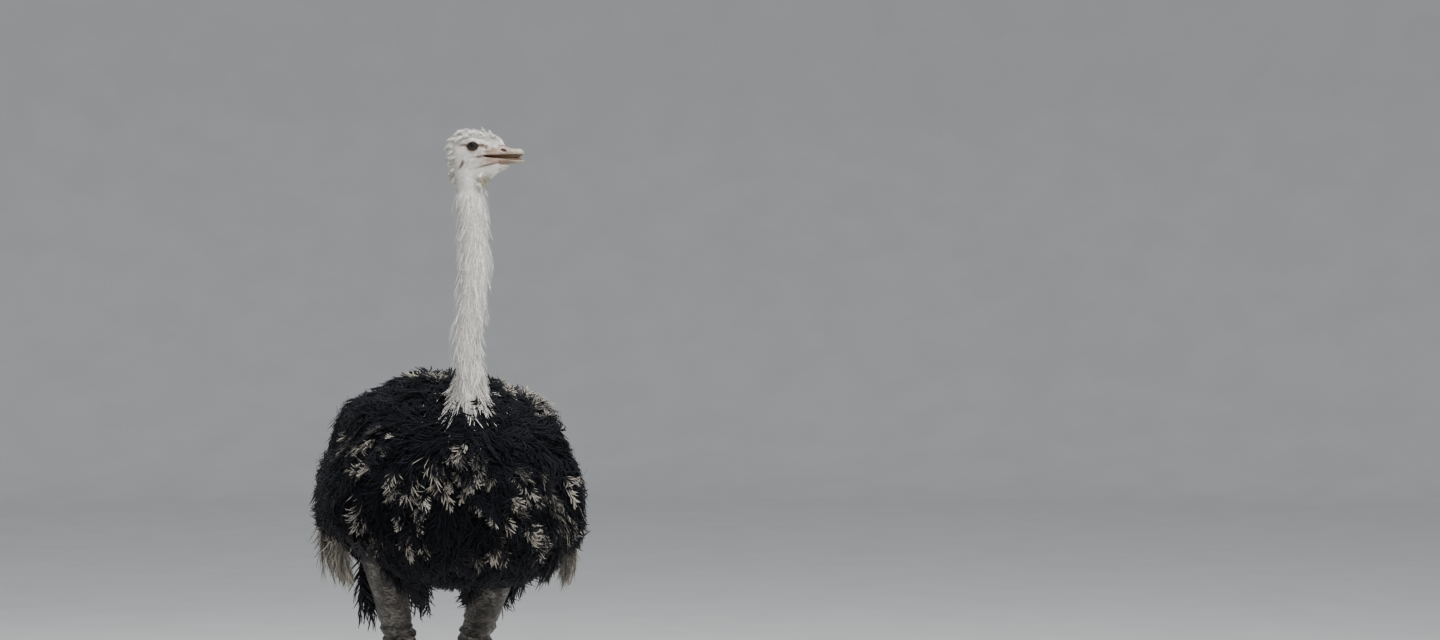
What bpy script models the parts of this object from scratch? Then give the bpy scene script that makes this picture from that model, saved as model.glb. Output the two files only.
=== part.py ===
"""An adult male ostrich, standing, at life size.

Metres, +Z up, floor at z = 0. The body faces -Y, so +X is the bird's left, and the head is turned
to its left. The solids are the outer shape of the bird, out to the tips of its feathers, and each
part that a person would name is one closed solid, a thin gap away from its neighbours.
"""

import math

import bmesh
import bpy
import numpy as np
from mathutils import Matrix

# Driving dimensions of the whole bird.
BODY_Y = -0.079  # where the middle of the trunk stands, so that the whole bird is centred on Y = 0
EYE_HEIGHT = 2.064
BACK_HEIGHT = 1.452
BELLY_HEIGHT = 0.812
WIDEST_HEIGHT = 1.07  # of the trunk
TRUNK_HALF_WIDTH = 0.335
TRUNK_FRONT = 0.525  # from the middle of the trunk to the breast
TRUNK_REAR = 0.50  # and to the rump
WING_HALF_WIDTH = 0.394  # over the folded wings
HOCK_HEIGHT = 0.505
HEAD_TURN = math.radians(-9)  # of the bill from +X, towards -Y

GAP = 0.00045  # how far a grown copy of a part stands off it, so that neighbours don't touch
SEAM = 0.0003  # the cut between two lengths of one limb
SIDES = ((1, "left"), (-1, "right"))  # the sign of X on each side of the bird, and its name

COLOURS = {  # base colour and roughness of each finish
    "black_plumage": ((0.012, 0.012, 0.016), 0.75),
    "pale_plumage": ((0.42, 0.38, 0.31), 0.85),
    "white_down": ((0.62, 0.61, 0.57), 0.9),
    "bill_horn": ((0.55, 0.42, 0.34), 0.45),
    "leg_skin": ((0.33, 0.29, 0.27), 0.7),
    "leg_scutes": ((0.36, 0.27, 0.22), 0.55),
    "claw_horn": ((0.10, 0.08, 0.065), 0.4),
    "eye": ((0.02, 0.012, 0.008), 0.08),
}


def clear_scene():
    """Removes whatever the scene holds."""
    for old in list(bpy.data.objects):
        bpy.data.objects.remove(old)


def new_collection(name):
    made = bpy.data.collections.new(name)
    bpy.context.scene.collection.children.link(made)
    return made


def finish_material(name):
    """One Principled material for each finish, made the first time that it is asked for."""
    found = bpy.data.materials.get(name)
    if found:
        return found
    colour, roughness = COLOURS[name]
    made = bpy.data.materials.new(name)
    made.use_nodes = True
    shader = made.node_tree.nodes["Principled BSDF"]
    shader.inputs["Base Color"].default_value = (*colour, 1.0)
    shader.inputs["Roughness"].default_value = roughness
    shader.inputs["Metallic"].default_value = 0.0
    return made


def smooth_rows(stations, count):
    """Rows of numbers on a smooth curve through the stations, a Catmull-Rom spline in their order."""
    rows = np.array(stations, float)
    padded = np.vstack([2 * rows[0] - rows[1], rows, 2 * rows[-1] - rows[-2]])
    at = np.linspace(0, len(rows) - 1, count)
    i = np.minimum(at.astype(int), len(rows) - 2)
    t = (at - i)[:, None]
    a, b, c, d = (padded[i + k] for k in range(4))
    return 0.5 * (2 * b + (c - a) * t + (2 * a - 5 * b + 4 * c - d) * t**2
                  + (3 * b - a - 3 * c + d) * t**3)


def mesh_object(name, build, finish, collection):
    """A new object whose mesh is filled by build(bm), closed, facing out and shaded smooth."""
    bm = bmesh.new()
    build(bm)
    bmesh.ops.remove_doubles(bm, verts=bm.verts, dist=1e-6)
    bmesh.ops.recalc_face_normals(bm, faces=bm.faces)
    if bm.calc_volume(signed=True) < 0:
        bmesh.ops.reverse_faces(bm, faces=bm.faces)
    bmesh.ops.triangulate(bm, faces=bm.faces)
    mesh = bpy.data.meshes.new(name)
    bm.to_mesh(mesh)
    bm.free()
    mesh.materials.append(finish_material(finish))
    mesh.shade_smooth()
    mesh.set_sharp_from_angle(angle=math.radians(50))
    made = bpy.data.objects.new(name, mesh)
    collection.objects.link(made)
    return made


def loft(name, rings, finish, collection, poles=(False, False)):
    """A closed skin over unlike rings of points. An end is a flat cap, or a pole at its middle."""

    def build(bm):
        lines = [[bm.verts.new(p) for p in ring] for ring in rings]
        count = len(lines[0])
        for low, high in zip(lines, lines[1:]):
            for k in range(count):
                bm.faces.new((low[k], low[(k + 1) % count], high[(k + 1) % count], high[k]))
        for line, pole in ((lines[0], poles[0]), (lines[-1], poles[1])):
            if not pole:
                bm.faces.new(line)
                continue
            middle = bm.verts.new(np.mean([v.co for v in line], axis=0))
            for k in range(count):
                bm.faces.new((line[k], line[(k + 1) % count], middle))

    return mesh_object(name, build, finish, collection)


def angles(sides):
    return np.linspace(0, 2 * math.pi, sides, endpoint=False)


def power(value, exponent):
    """A signed power, which squares off or sharpens a round section."""
    return np.sign(value) * np.abs(value) ** exponent


def tube_rings(rows, across, sides):
    """Rings round a path. Each row is a centre, a half width along across and a half depth."""
    rows = np.asarray(rows, float)
    centres = rows[:, :3]
    along = np.gradient(centres, axis=0)
    along /= np.linalg.norm(along, axis=1)[:, None]
    depth = np.cross(along, across)
    depth /= np.linalg.norm(depth, axis=1)[:, None]
    wide = np.cross(depth, along)
    turn = angles(sides)[None, :, None]
    return (centres[:, None] + np.cos(turn) * (wide * rows[:, 3:4])[:, None]
            + np.sin(turn) * (depth * rows[:, 4:5])[:, None])


def mesh_of(thing):
    """The object's own mesh with its modifiers applied."""
    graph = bpy.context.evaluated_depsgraph_get()
    return bpy.data.meshes.new_from_object(thing.evaluated_get(graph))


class Carver:
    """Cuts room for neighbours: each cutter is a copy of a finished part, grown by GAP."""

    def __init__(self, collection):
        self.collection = collection
        self.cutters = {}

    def cutter(self, thing):
        if thing.name not in self.cutters:
            bpy.context.view_layer.update()
            made = bpy.data.objects.new(thing.name + "_room", mesh_of(thing))
            self.collection.objects.link(made)
            grow = made.modifiers.new("grow", "DISPLACE")
            grow.mid_level = 0.0
            grow.strength = GAP
            made.hide_render = True
            made.display_type = "WIRE"
            self.cutters[thing.name] = made
        return self.cutters[thing.name]

    def carve(self, thing, *neighbours):
        for neighbour in neighbours:
            cut = thing.modifiers.new("room_for_" + neighbour.name, "BOOLEAN")
            cut.operation = "DIFFERENCE"
            cut.object = self.cutter(neighbour)
        return thing


# ---------------------------------------------------------------- trunk, wings and tail

TRUNK_SIDES = 28
TRUNK_RINGS = 16
UPPER_POWERS, LOWER_POWERS = (0.87, 1.25), (0.70, 0.80)  # across and up: 1 and 1 is an ellipse
RUMP_RISE = 0.09  # how much higher the rump is carried than the breast
BELLY_SHIFT = 0.30  # how far the belly hangs to the bird's left, as a share of the depth below
BELLY_SHIFT_HEIGHT = 1.04


def trunk_section(y, fullness, turn, half_width=TRUNK_HALF_WIDTH):
    """Points of the trunk's section at y, for angles turn from +X over the back.

    The section is half an ellipse above the widest height and a squarer one below it, and
    fullness shrinks it towards the breast and the rump.
    """
    share = (y - BODY_Y) / TRUNK_REAR
    middle = WIDEST_HEIGHT + RUMP_RISE * np.maximum(share, 0) ** 1.5 + 0.04 * (1 - fullness)
    cos, sin = np.cos(turn), np.sin(turn)
    wide, high = (np.where(sin > 0, a, b) for a, b in zip(UPPER_POWERS, LOWER_POWERS))
    up = (BACK_HEIGHT - WIDEST_HEIGHT) * np.where(share > 0, 1 - 0.10 * np.abs(share) ** 3, 1.0)
    down = WIDEST_HEIGHT - BELLY_HEIGHT
    x = half_width * fullness * power(cos, wide)
    z = middle + fullness * np.where(sin > 0, up, down) * power(sin, high)
    return np.stack([x, np.broadcast_to(y, x.shape), z], axis=-1)


def hang(points):
    """Lets the belly hang a little to the bird's left."""
    points[..., 0] += BELLY_SHIFT * np.maximum(BELLY_SHIFT_HEIGHT - points[..., 2], 0)
    return points


def trunk_profile(pole_angle):
    """(y, fullness) of the trunk for angles from 0 at the breast to pi at the rump."""
    reach = np.where(pole_angle < math.pi / 2, TRUNK_FRONT, TRUNK_REAR)
    return BODY_Y - reach * np.cos(pole_angle), np.sin(pole_angle) ** 0.86


def make_trunk(parts):
    y, fullness = trunk_profile(np.linspace(0.09, math.pi - 0.12, TRUNK_RINGS))
    rings = trunk_section(y[:, None], fullness[:, None], angles(TRUNK_SIDES)[None, :])
    return loft("trunk", hang(rings), "black_plumage", parts, poles=(True, True))


WING_FRONT, WING_REAR = -0.37, 0.43  # of the folded wing, from the middle of the trunk
WING_RINGS = 17
WING_ARC = 9
WING_LOBES = 4  # bunches of coverts along its lower edge


def wing_rings(side):
    """Rings of a folded wing: an outer arc over the flank and an inner one inside the trunk.

    u runs from the shoulder to the rear edge and v from the upper edge to the lower one.
    """
    u = np.linspace(0, 1, WING_RINGS)
    v = np.linspace(0, 1, WING_ARC)[None, :]
    y = BODY_Y + WING_FRONT + (WING_REAR - WING_FRONT) * u
    reach = np.where(y < BODY_Y, TRUNK_FRONT, TRUNK_REAR)
    fullness = np.clip(1 - ((y - BODY_Y) / reach) ** 2, 0, 1) ** 0.43
    belly = np.sin(math.pi * np.clip(u, 0.02, 0.98)) ** 0.5
    lobes = 2.2 * np.abs(np.sin(WING_LOBES * math.pi * u))
    upper = np.radians(22 + 40 * belly)
    lower = np.radians(12 - 42 * belly * (0.82 + 0.25 * u) - lobes)
    turn = upper[:, None] + (lower - upper)[:, None] * v
    swell = (0.25 + 0.75 * belly)[:, None] * np.sin(math.pi * (0.12 + 0.76 * v)) ** 0.55
    half_width = TRUNK_HALF_WIDTH + (WING_HALF_WIDTH - TRUNK_HALF_WIDTH) * swell
    outer = trunk_section(y[:, None], fullness[:, None], turn, half_width)
    inner = trunk_section(y[:, None], fullness[:, None], turn[:, ::-2], TRUNK_HALF_WIDTH * 0.86)
    inner[..., 2] = WIDEST_HEIGHT + (inner[..., 2] - WIDEST_HEIGHT) * 0.90
    rings = np.concatenate([outer, inner], axis=1)
    rings[..., 0] *= side
    return hang(rings)


def make_wing(side, name, parts):
    return loft("wing_" + name, wing_rings(side), "black_plumage", parts)


PLUME_COLUMNS = 4  # of points across each plume
PLUME_RINGS = 6


def plume_fan(name, roots, tips, bow, plumes, thick, finish, parts):
    """Long soft plumes side by side, as one curved fan that ends in a lobe for each plume.

    roots and tips are three points each, for the two edges of the fan and its middle, joined by
    a parabola. bow is how far the fan stands off the straight lines between roots and tips.
    """
    u = np.linspace(-1, 1, plumes * PLUME_COLUMNS + 1)[:, None]
    first, middle, last = (np.stack([np.array(r), np.array(t)]) for r, t in zip(roots, tips))
    line = middle[:, None] * (1 - u * u) + first[:, None] * (u * u - u) / 2
    line = line + last[:, None] * (u * u + u) / 2
    lobe = np.abs(np.sin(plumes * math.pi * (u + 1) / 2)) ** 0.7
    t = np.linspace(0, 1, PLUME_RINGS)[:, None, None]
    reach = t * (0.86 + 0.14 * lobe)
    sheet = line[0] + (line[1] - line[0]) * reach + np.array(bow) * np.sin(math.pi * reach**0.9)
    out = np.cross(line[0][-1] - line[0][0], line[1][0] - line[0][0])
    out /= np.linalg.norm(out)
    edge = (1 - u**8) ** 0.5
    half = thick * (0.10 + 0.90 * edge * (0.55 + 0.45 * lobe)) * (1 - 0.75 * t**3)
    rings = np.concatenate([sheet + out * half, (sheet - out * half)[:, ::-1]], axis=1)
    return loft(name, hang(rings), finish, parts)


TAIL_PLUMES = 5
WING_PLUMES = 4


TAIL_ROOTS = ((-0.15, 0.37, 1.20), (0.0, 0.40, 1.26), (0.15, 0.37, 1.20))
TAIL_TIPS = ((-0.23, 0.56, 1.02), (0.0, 0.677, 0.98), (0.23, 0.56, 1.02))
TAIL_BOW = (0.0, 0.030, 0.045)
WING_PLUME_ROOTS = ((0.335, 0.16, 1.03), (0.335, 0.26, 1.06), (0.315, 0.38, 1.06))
WING_PLUME_TIPS = ((0.318, 0.18, 0.815), (0.298, 0.34, 0.77), (0.262, 0.48, 0.84))
WING_PLUME_BOW = 0.010


def placed(points, side=1):
    """Points given sideways, from the body's middle and by height, on one side of the bird."""
    return [(side * x, BODY_Y + y, z) for x, y, z in points]


def make_tail(parts):
    """A drooping fan behind the rump."""
    return plume_fan("tail", placed(TAIL_ROOTS), placed(TAIL_TIPS), TAIL_BOW, TAIL_PLUMES, 0.022,
                     "pale_plumage", parts)


def make_wing_plumes(side, name, parts):
    """The pale flight plumes that hang below the rear of a folded wing."""
    roots, tips = placed(WING_PLUME_ROOTS, side), placed(WING_PLUME_TIPS, side)
    return plume_fan("wing_plumes_" + name, roots, tips, (side * WING_PLUME_BOW, 0.0, 0.0),
                     WING_PLUMES, 0.014, "pale_plumage", parts)


# ---------------------------------------------------------------- neck and head

NECK_STATIONS = (  # sideways, forward of the body's middle, height, half width, half depth
    (0.000, -0.190, 1.150, 0.1800, 0.200),
    (0.000, -0.285, 1.265, 0.1120, 0.135),
    (-0.003, -0.350, 1.355, 0.0560, 0.078),
    (-0.004, -0.378, 1.430, 0.0415, 0.053),
    (-0.003, -0.394, 1.510, 0.0385, 0.0450),
    (0.003, -0.404, 1.620, 0.0375, 0.043),
    (0.013, -0.397, 1.735, 0.0405, 0.044),
    (0.011, -0.386, 1.840, 0.0415, 0.044),
    (0.005, -0.377, 1.930, 0.0415, 0.045),
    (0.002, -0.372, 2.015, 0.0395, 0.045),
)
NECK_SIDES = 14
NECK_RINGS = 37
NECK_CUTS = (0, 12, 18, 24, 30, 36)  # the rings at which one length of neck ends


def make_neck(parts):
    """Five lengths of neck from the breast to the head, parted by thin cuts."""
    rows = smooth_rows(NECK_STATIONS, NECK_RINGS)
    rows[:, 1] += BODY_Y
    rings = tube_rings(rows, (1, 0, 0), NECK_SIDES)
    along = np.gradient(rows[:, :3], axis=0)
    along /= np.linalg.norm(along, axis=1)[:, None]
    lengths = []
    for k, (first, last) in enumerate(zip(NECK_CUTS, NECK_CUTS[1:])):
        piece = rings[first:last + 1].copy()
        piece[0] += along[first] * SEAM / 2
        piece[-1] -= along[last] * SEAM / 2
        lengths.append(loft(f"neck_{k + 1}", piece, "white_down", parts))
    return lengths


# The head's own frame: forward along the bill, sideways to the bird's left, and up from the eyes.
HEAD_FORWARD = np.array([math.cos(HEAD_TURN), math.sin(HEAD_TURN), 0.0])
HEAD_SIDE = np.array([-math.sin(HEAD_TURN), math.cos(HEAD_TURN), 0.0])
HEAD_PLACE = np.array([0.011, BODY_Y - 0.37, EYE_HEIGHT])

HEAD_STATIONS = (  # forward, top, widest height, bottom, half width
    (-0.0690, 0.0010, -0.022, -0.044, 0.0160),
    (-0.0630, 0.0170, -0.022, -0.062, 0.0280),
    (-0.0480, 0.0375, -0.020, -0.080, 0.0385),
    (-0.0220, 0.0475, -0.016, -0.095, 0.0435),
    (0.0040, 0.0495, -0.014, -0.106, 0.0435),
    (0.0300, 0.0420, -0.014, -0.106, 0.0385),
    (0.0540, 0.0325, -0.014, -0.097, 0.0335),
    (0.0760, 0.0165, -0.014, -0.081, 0.0300),
    (0.0930, 0.0010, -0.016, -0.064, 0.0235),
)
HEAD_RINGS = 13
HEAD_ARC = 11
HEAD_SQUARENESS = 0.95
MOUTH_CORNER = 0.010
MOUTH_HEIGHT = -0.0305


def to_world(points):
    """Points of the head's own frame (forward, sideways, up) placed on the bird."""
    points = np.asarray(points, float)
    return (HEAD_PLACE + points[..., :1] * HEAD_FORWARD + points[..., 1:2] * HEAD_SIDE
            + points[..., 2:] * np.array([0.0, 0.0, 1.0]))


def upper_mouth(forward):
    """Height of the upper bill's edge, which rises a little towards the tip."""
    return MOUTH_HEIGHT + 0.058 * np.maximum(forward - MOUTH_CORNER, 0)


def lower_mouth(forward):
    """Height of the lower bill's edge, which drops away from the upper one: the bill is ajar."""
    return MOUTH_HEIGHT - SEAM - 0.095 * np.maximum(forward - MOUTH_CORNER, 0)


def head_rings(is_jaw):
    """Rings of the skull with its down, above the mouth line, or of the jaw and throat below it."""
    rows = smooth_rows(HEAD_STATIONS, HEAD_RINGS)
    forward, top, middle, bottom, half = (rows[:, k:k + 1] for k in range(5))
    if is_jaw:
        edge = lower_mouth(forward) - SEAM
    else:
        edge = upper_mouth(forward)
    share = np.clip((middle - edge) / (middle - bottom), 0.0, 0.95)
    low = -np.arcsin(share ** (1 / HEAD_SQUARENESS))
    if is_jaw:
        first, last = low, -math.pi - low
    else:
        first, last = low, math.pi - low
    turn = first + (last - first) * np.linspace(0, 1, HEAD_ARC)[None, :]
    reach = np.where(np.sin(turn) > 0, top - middle, middle - bottom)
    side = half * power(np.cos(turn), 0.92)
    return to_world(np.stack([np.broadcast_to(forward, side.shape), side,
                              middle + reach * power(np.sin(turn), HEAD_SQUARENESS)], axis=-1))


BILL_STATIONS = (  # forward, half width, top of the upper bill, thickness of the lower one
    (0.0240, 0.0300, -0.0150, 0.0115),
    (0.0500, 0.0295, -0.0070, 0.0115),
    (0.0820, 0.0265, 0.0010, 0.0115),
    (0.1000, 0.0240, -0.0025, 0.0110),
    (0.1200, 0.0205, -0.0060, 0.0100),
    (0.1340, 0.0150, -0.0088, 0.0085),
    (0.1410, 0.0085, -0.0140, 0.0055),
)
BILL_RINGS = 12
BILL_ARC = 9


def bill_rings(is_upper):
    """Rings of half a bill, rounded on the outside and flat at the mouth."""
    rows = smooth_rows(BILL_STATIONS, BILL_RINGS)
    forward, half, top, thick = (rows[:, k:k + 1] for k in range(4))
    turn = np.linspace(0, math.pi, BILL_ARC)[None, :]
    if is_upper:
        edge = upper_mouth(forward)
        reach = top - edge
    else:
        edge = lower_mouth(forward)
        reach = -thick
        half = half * 0.96
    side = half * power(np.cos(turn), 0.8)
    return to_world(np.stack([np.broadcast_to(forward, side.shape), side,
                              edge + reach * np.sin(turn) ** 0.8], axis=-1))


EYE_RADIUS = 0.0205
EYE_SIDE = 0.0275  # of the eyeball's middle, from the middle of the head


def make_eye(side, name, parts):
    middle = Matrix.Translation(to_world((0.0, side * EYE_SIDE, 0.0)))

    def build(bm):
        bmesh.ops.create_uvsphere(bm, u_segments=12, v_segments=8, radius=EYE_RADIUS, matrix=middle)

    return mesh_object("eye_" + name, build, "eye", parts)


# ---------------------------------------------------------------- legs and feet

LEGS_SHIFT = -0.014  # of both legs, from the middle of the body
KNEE = (0.185, 0.010, 0.960)  # sideways, from the body's middle, height: inside the trunk
HOCK = (0.066, 0.155, HOCK_HEIGHT)
TOE_JOINT = (0.100, 0.040, 0.034)
DRUMSTICK_STATIONS = (  # share of the way from the knee to the hock, half width, half depth
    (0.00, 0.074, 0.125),
    (0.20, 0.067, 0.112),
    (0.40, 0.056, 0.088),
    (0.60, 0.046, 0.064),
    (0.80, 0.036, 0.045),
    (1.00, 0.034, 0.040),
)
TARSUS_STATIONS = (  # share of the way from the hock to the toes, half width, half depth
    (0.00, 0.0340, 0.0410),
    (0.08, 0.0330, 0.0400),
    (0.20, 0.0235, 0.0300),
    (0.50, 0.0205, 0.0250),
    (0.80, 0.0220, 0.0250),
    (0.92, 0.0270, 0.0290),
    (1.00, 0.0250, 0.0260),
)
LEG_SIDES = 14
LEG_RINGS = 11


def limb(name, start, end, stations, finish, side, parts):
    """A straight limb between two joints, with its girth from stations along the way."""
    start = np.array([LEGS_SHIFT + side * start[0], BODY_Y + start[1], start[2]])
    end = np.array([LEGS_SHIFT + side * end[0], BODY_Y + end[1], end[2]])
    rows = smooth_rows(stations, LEG_RINGS)
    path = start + (end - start) * rows[:, :1]
    return loft(name, tube_rings(np.hstack([path, rows[:, 1:]]), (1, 0, 0), LEG_SIDES),
                finish, parts)


BIG_TOE = {"length": 0.165, "half_width": 0.030, "height": 0.056, "splay": 2}
SMALL_TOE = {"length": 0.112, "half_width": 0.020, "height": 0.038, "splay": 25}
TOE_PADS = 3
TOE_ARC = 8
TOE_RINGS = 10
HEEL = 0.030  # how far the toes' pads reach behind their joint


def toe_frame(side, toe):
    """(root, forward, sideways) of a toe on the floor."""
    splay = math.radians(toe["splay"]) * side
    root = np.array([LEGS_SHIFT + side * TOE_JOINT[0], BODY_Y + TOE_JOINT[1], 0.0])
    forward = np.array([math.sin(splay), -math.cos(splay), 0.0])
    return root, forward, np.array([-forward[1], forward[0], 0.0])


def make_toe(name, side, toe, heel, parts):
    """A toe with pads: an arched section that tapers forward, flat where it stands."""
    root, forward, sideways = toe_frame(side, toe)
    t = np.linspace(0, 1, TOE_RINGS)[:, None]
    along = -heel + (toe["length"] + heel) * t
    pads = 1 + 0.06 * np.cos(2 * math.pi * TOE_PADS * t)
    end = np.clip((1 - t) / 0.10, 0, 1) ** 0.5 * 0.35 + 0.65
    start = np.clip(t / 0.12, 0, 1) ** 0.5 * 0.4 + 0.6
    half = toe["half_width"] * (1 - 0.28 * t) * pads * end * start
    height = toe["height"] * (1 - 0.42 * t) * (0.94 + 0.06 * pads) * end * start
    turn = np.linspace(0, math.pi, TOE_ARC)[None, :]
    wide = half * power(np.cos(turn), 0.75)
    up = 0.004 + (height - 0.004) * np.sin(turn) ** 0.8
    foot = np.stack([half[:, 0] * -0.86, half[:, 0] * 0.86], axis=1)
    wide = np.hstack([wide, foot])
    up = np.hstack([up, np.zeros_like(foot)])
    rings = (root + along[..., None] * forward + wide[..., None] * sideways
             + up[..., None] * np.array([0.0, 0.0, 1.0]))
    return loft(name, rings, "leg_scutes", parts)


def make_claw(name, side, toe, length, girth, parts):
    """A blunt nail that carries the toe on and bends down towards the floor."""
    root, forward, sideways = toe_frame(side, toe)
    t = np.linspace(0, 1, 7)[:, None]
    start = root + forward * (toe["length"] - 0.010)
    path = start + forward * length * t
    taper = (1 - t) ** 0.6 * 0.85 + 0.15
    path[:, 2:] = 0.003 + girth * taper + 0.004 * (1 - t)
    rows = np.hstack([path, girth * 1.15 * taper, girth * taper])
    return loft(name, tube_rings(rows, sideways, 8), "claw_horn", parts, poles=(False, True))


def make_leg(side, name, carver, trunk, wing, plumes, parts):
    drumstick = limb("drumstick_" + name, KNEE, HOCK, DRUMSTICK_STATIONS, "leg_skin", side, parts)
    carver.carve(drumstick, trunk, wing, plumes)
    tarsus = limb("tarsus_" + name, HOCK, TOE_JOINT, TARSUS_STATIONS, "leg_scutes", side, parts)
    carver.carve(tarsus, drumstick)
    big = make_toe("big_toe_" + name, side, BIG_TOE, HEEL, parts)
    small = make_toe("small_toe_" + name, side, SMALL_TOE, 0.0, parts)
    big_claw = make_claw("big_claw_" + name, side, BIG_TOE, 0.058, 0.0125, parts)
    small_claw = make_claw("small_claw_" + name, side, SMALL_TOE, 0.020, 0.0075, parts)
    carver.carve(big, tarsus)
    carver.carve(small, tarsus, big)
    carver.carve(big_claw, big)
    carver.carve(small_claw, small)


def main():
    clear_scene()
    parts = new_collection("ostrich")
    carver = Carver(new_collection("cutters"))

    trunk = make_trunk(parts)
    wings = [carver.carve(make_wing(side, name, parts), trunk) for side, name in SIDES]
    tail = carver.carve(make_tail(parts), trunk, *wings)
    for (side, name), wing in zip(SIDES, wings):
        plumes = make_wing_plumes(side, name, parts)
        carver.carve(plumes, trunk, wing, tail)
        make_leg(side, name, carver, trunk, wing, plumes, parts)

    skull = loft("head", head_rings(False), "white_down", parts, poles=(True, True))
    jaw = loft("jaw", head_rings(True), "white_down", parts, poles=(True, True))
    upper = loft("bill_upper", bill_rings(True), "bill_horn", parts, poles=(False, True))
    lower = loft("bill_lower", bill_rings(False), "bill_horn", parts, poles=(False, True))
    eyes = [make_eye(side, name, parts) for side, name in SIDES]
    carver.carve(skull, *eyes, upper)
    carver.carve(jaw, lower, skull)
    neck = make_neck(parts)
    carver.carve(neck[0], trunk)
    carver.carve(neck[-1], skull, jaw)


if __name__ == "__main__":
    main()
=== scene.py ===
"""Looks of a life-size adult male ostrich: one seamless skin, horn, eyes, and plumage as solid locks."""

import math

import bpy
import numpy as np
from bpy.props import FloatProperty, FloatVectorProperty, PointerProperty
from bpy.types import Operator, Panel, PropertyGroup
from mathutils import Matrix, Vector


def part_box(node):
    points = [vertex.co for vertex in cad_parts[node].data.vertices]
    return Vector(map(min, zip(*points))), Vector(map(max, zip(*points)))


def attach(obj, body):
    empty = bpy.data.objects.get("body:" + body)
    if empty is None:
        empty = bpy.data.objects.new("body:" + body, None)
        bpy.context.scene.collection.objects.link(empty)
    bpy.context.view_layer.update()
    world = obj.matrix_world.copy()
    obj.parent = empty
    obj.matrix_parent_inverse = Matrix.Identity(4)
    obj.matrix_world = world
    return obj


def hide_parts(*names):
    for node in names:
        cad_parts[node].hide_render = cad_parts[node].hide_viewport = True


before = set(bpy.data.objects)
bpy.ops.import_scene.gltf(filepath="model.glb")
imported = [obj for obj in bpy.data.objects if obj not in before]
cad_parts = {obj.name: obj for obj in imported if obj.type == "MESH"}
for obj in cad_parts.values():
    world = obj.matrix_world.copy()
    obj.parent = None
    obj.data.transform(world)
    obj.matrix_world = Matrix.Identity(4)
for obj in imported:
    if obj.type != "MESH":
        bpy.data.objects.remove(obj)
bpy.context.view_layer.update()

bl_info = {
    "name": "Ostrich",
    "version": (1, 0, 0),
    "blender": (4, 5, 0),
    "location": "View3D > Sidebar > Ostrich",
    "description": "Builds the skin, horn, eyes and plumage of a standing ostrich round its packed solids",
    "category": "Object",
}

# ------------------------------------------------------------------ places shared by the pieces

UP = np.array([0.0, 0.0, 1.0])
BODY_Y = -0.079  # of the middle of the trunk
HEAD_TURN = math.radians(-9)
HEAD_FORWARD = np.array([math.cos(HEAD_TURN), math.sin(HEAD_TURN), 0.0])
HEAD_SIDE = np.array([-math.sin(HEAD_TURN), math.cos(HEAD_TURN), 0.0])
EYE_MIDDLE = sum(0.25 * np.array(corner) for name in ("eye_left", "eye_right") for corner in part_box(name))
EYE_MIDDLE = EYE_MIDDLE - 0.0042 * UP - 0.0010 * HEAD_FORWARD  # a little under the solids' own
EYE_RADIUS = (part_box("eye_left")[1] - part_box("eye_left")[0]).z / 2
EYE_SIDE = 0.0275  # of each eyeball's middle, from the middle of the head
SIDES = ((1, "left"), (-1, "right"))
LEGS_SHIFT = -0.014  # of both legs, to the right

# The trunk's back and belly lines: dorsal (y, z) and ventral (y, z), half width, and how far up
# from the belly the section is widest, as a share.
TRUNK = (
    (0.4560, 1.1960, 0.4560, 1.1900, 0.002, 0.45),
    (0.4480, 1.2480, 0.4480, 1.1350, 0.065, 0.45),
    (0.4220, 1.3020, 0.4250, 1.0680, 0.128, 0.45),
    (0.3680, 1.3520, 0.3760, 1.0000, 0.190, 0.43),
    (0.2780, 1.3930, 0.2860, 0.9380, 0.245, 0.41),
    (0.1500, 1.4110, 0.1500, 0.8840, 0.285, 0.40),
    (0.0200, 1.4140, -0.0100, 0.8600, 0.298, 0.39),
    (-0.1000, 1.4100, -0.1650, 0.8680, 0.294, 0.39),
    (-0.1900, 1.4000, -0.2900, 0.9000, 0.275, 0.40),
    (-0.2450, 1.3910, -0.3850, 0.9580, 0.240, 0.42),
    (-0.2760, 1.3860, -0.4480, 1.0400, 0.190, 0.45),
    (-0.2940, 1.3870, -0.4750, 1.1300, 0.134, 0.47),
    (-0.3060, 1.3960, -0.4740, 1.2130, 0.080, 0.49),
    (-0.3180, 1.4130, -0.4580, 1.2880, 0.048, 0.50),
    (-0.3280, 1.4360, -0.4400, 1.3580, 0.0350, 0.50),
    (-0.3360, 1.4680, -0.4340, 1.4260, 0.0330, 0.50),
)
# The neck: centre (x, y, z), half width, half depth, and where its nape points, in degrees.
NECK = (
    (-0.0090, -0.3925, 1.5150, 0.0340, 0.0410, 91),
    (0.0015, -0.4040, 1.6200, 0.0330, 0.0385, 103),
    (0.0110, -0.3970, 1.7350, 0.0350, 0.0385, 127),
    (0.0085, -0.3860, 1.8400, 0.0335, 0.0360, 150),
    (0.0035, -0.3770, 1.9100, 0.0350, 0.0375, 165),
)
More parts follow.
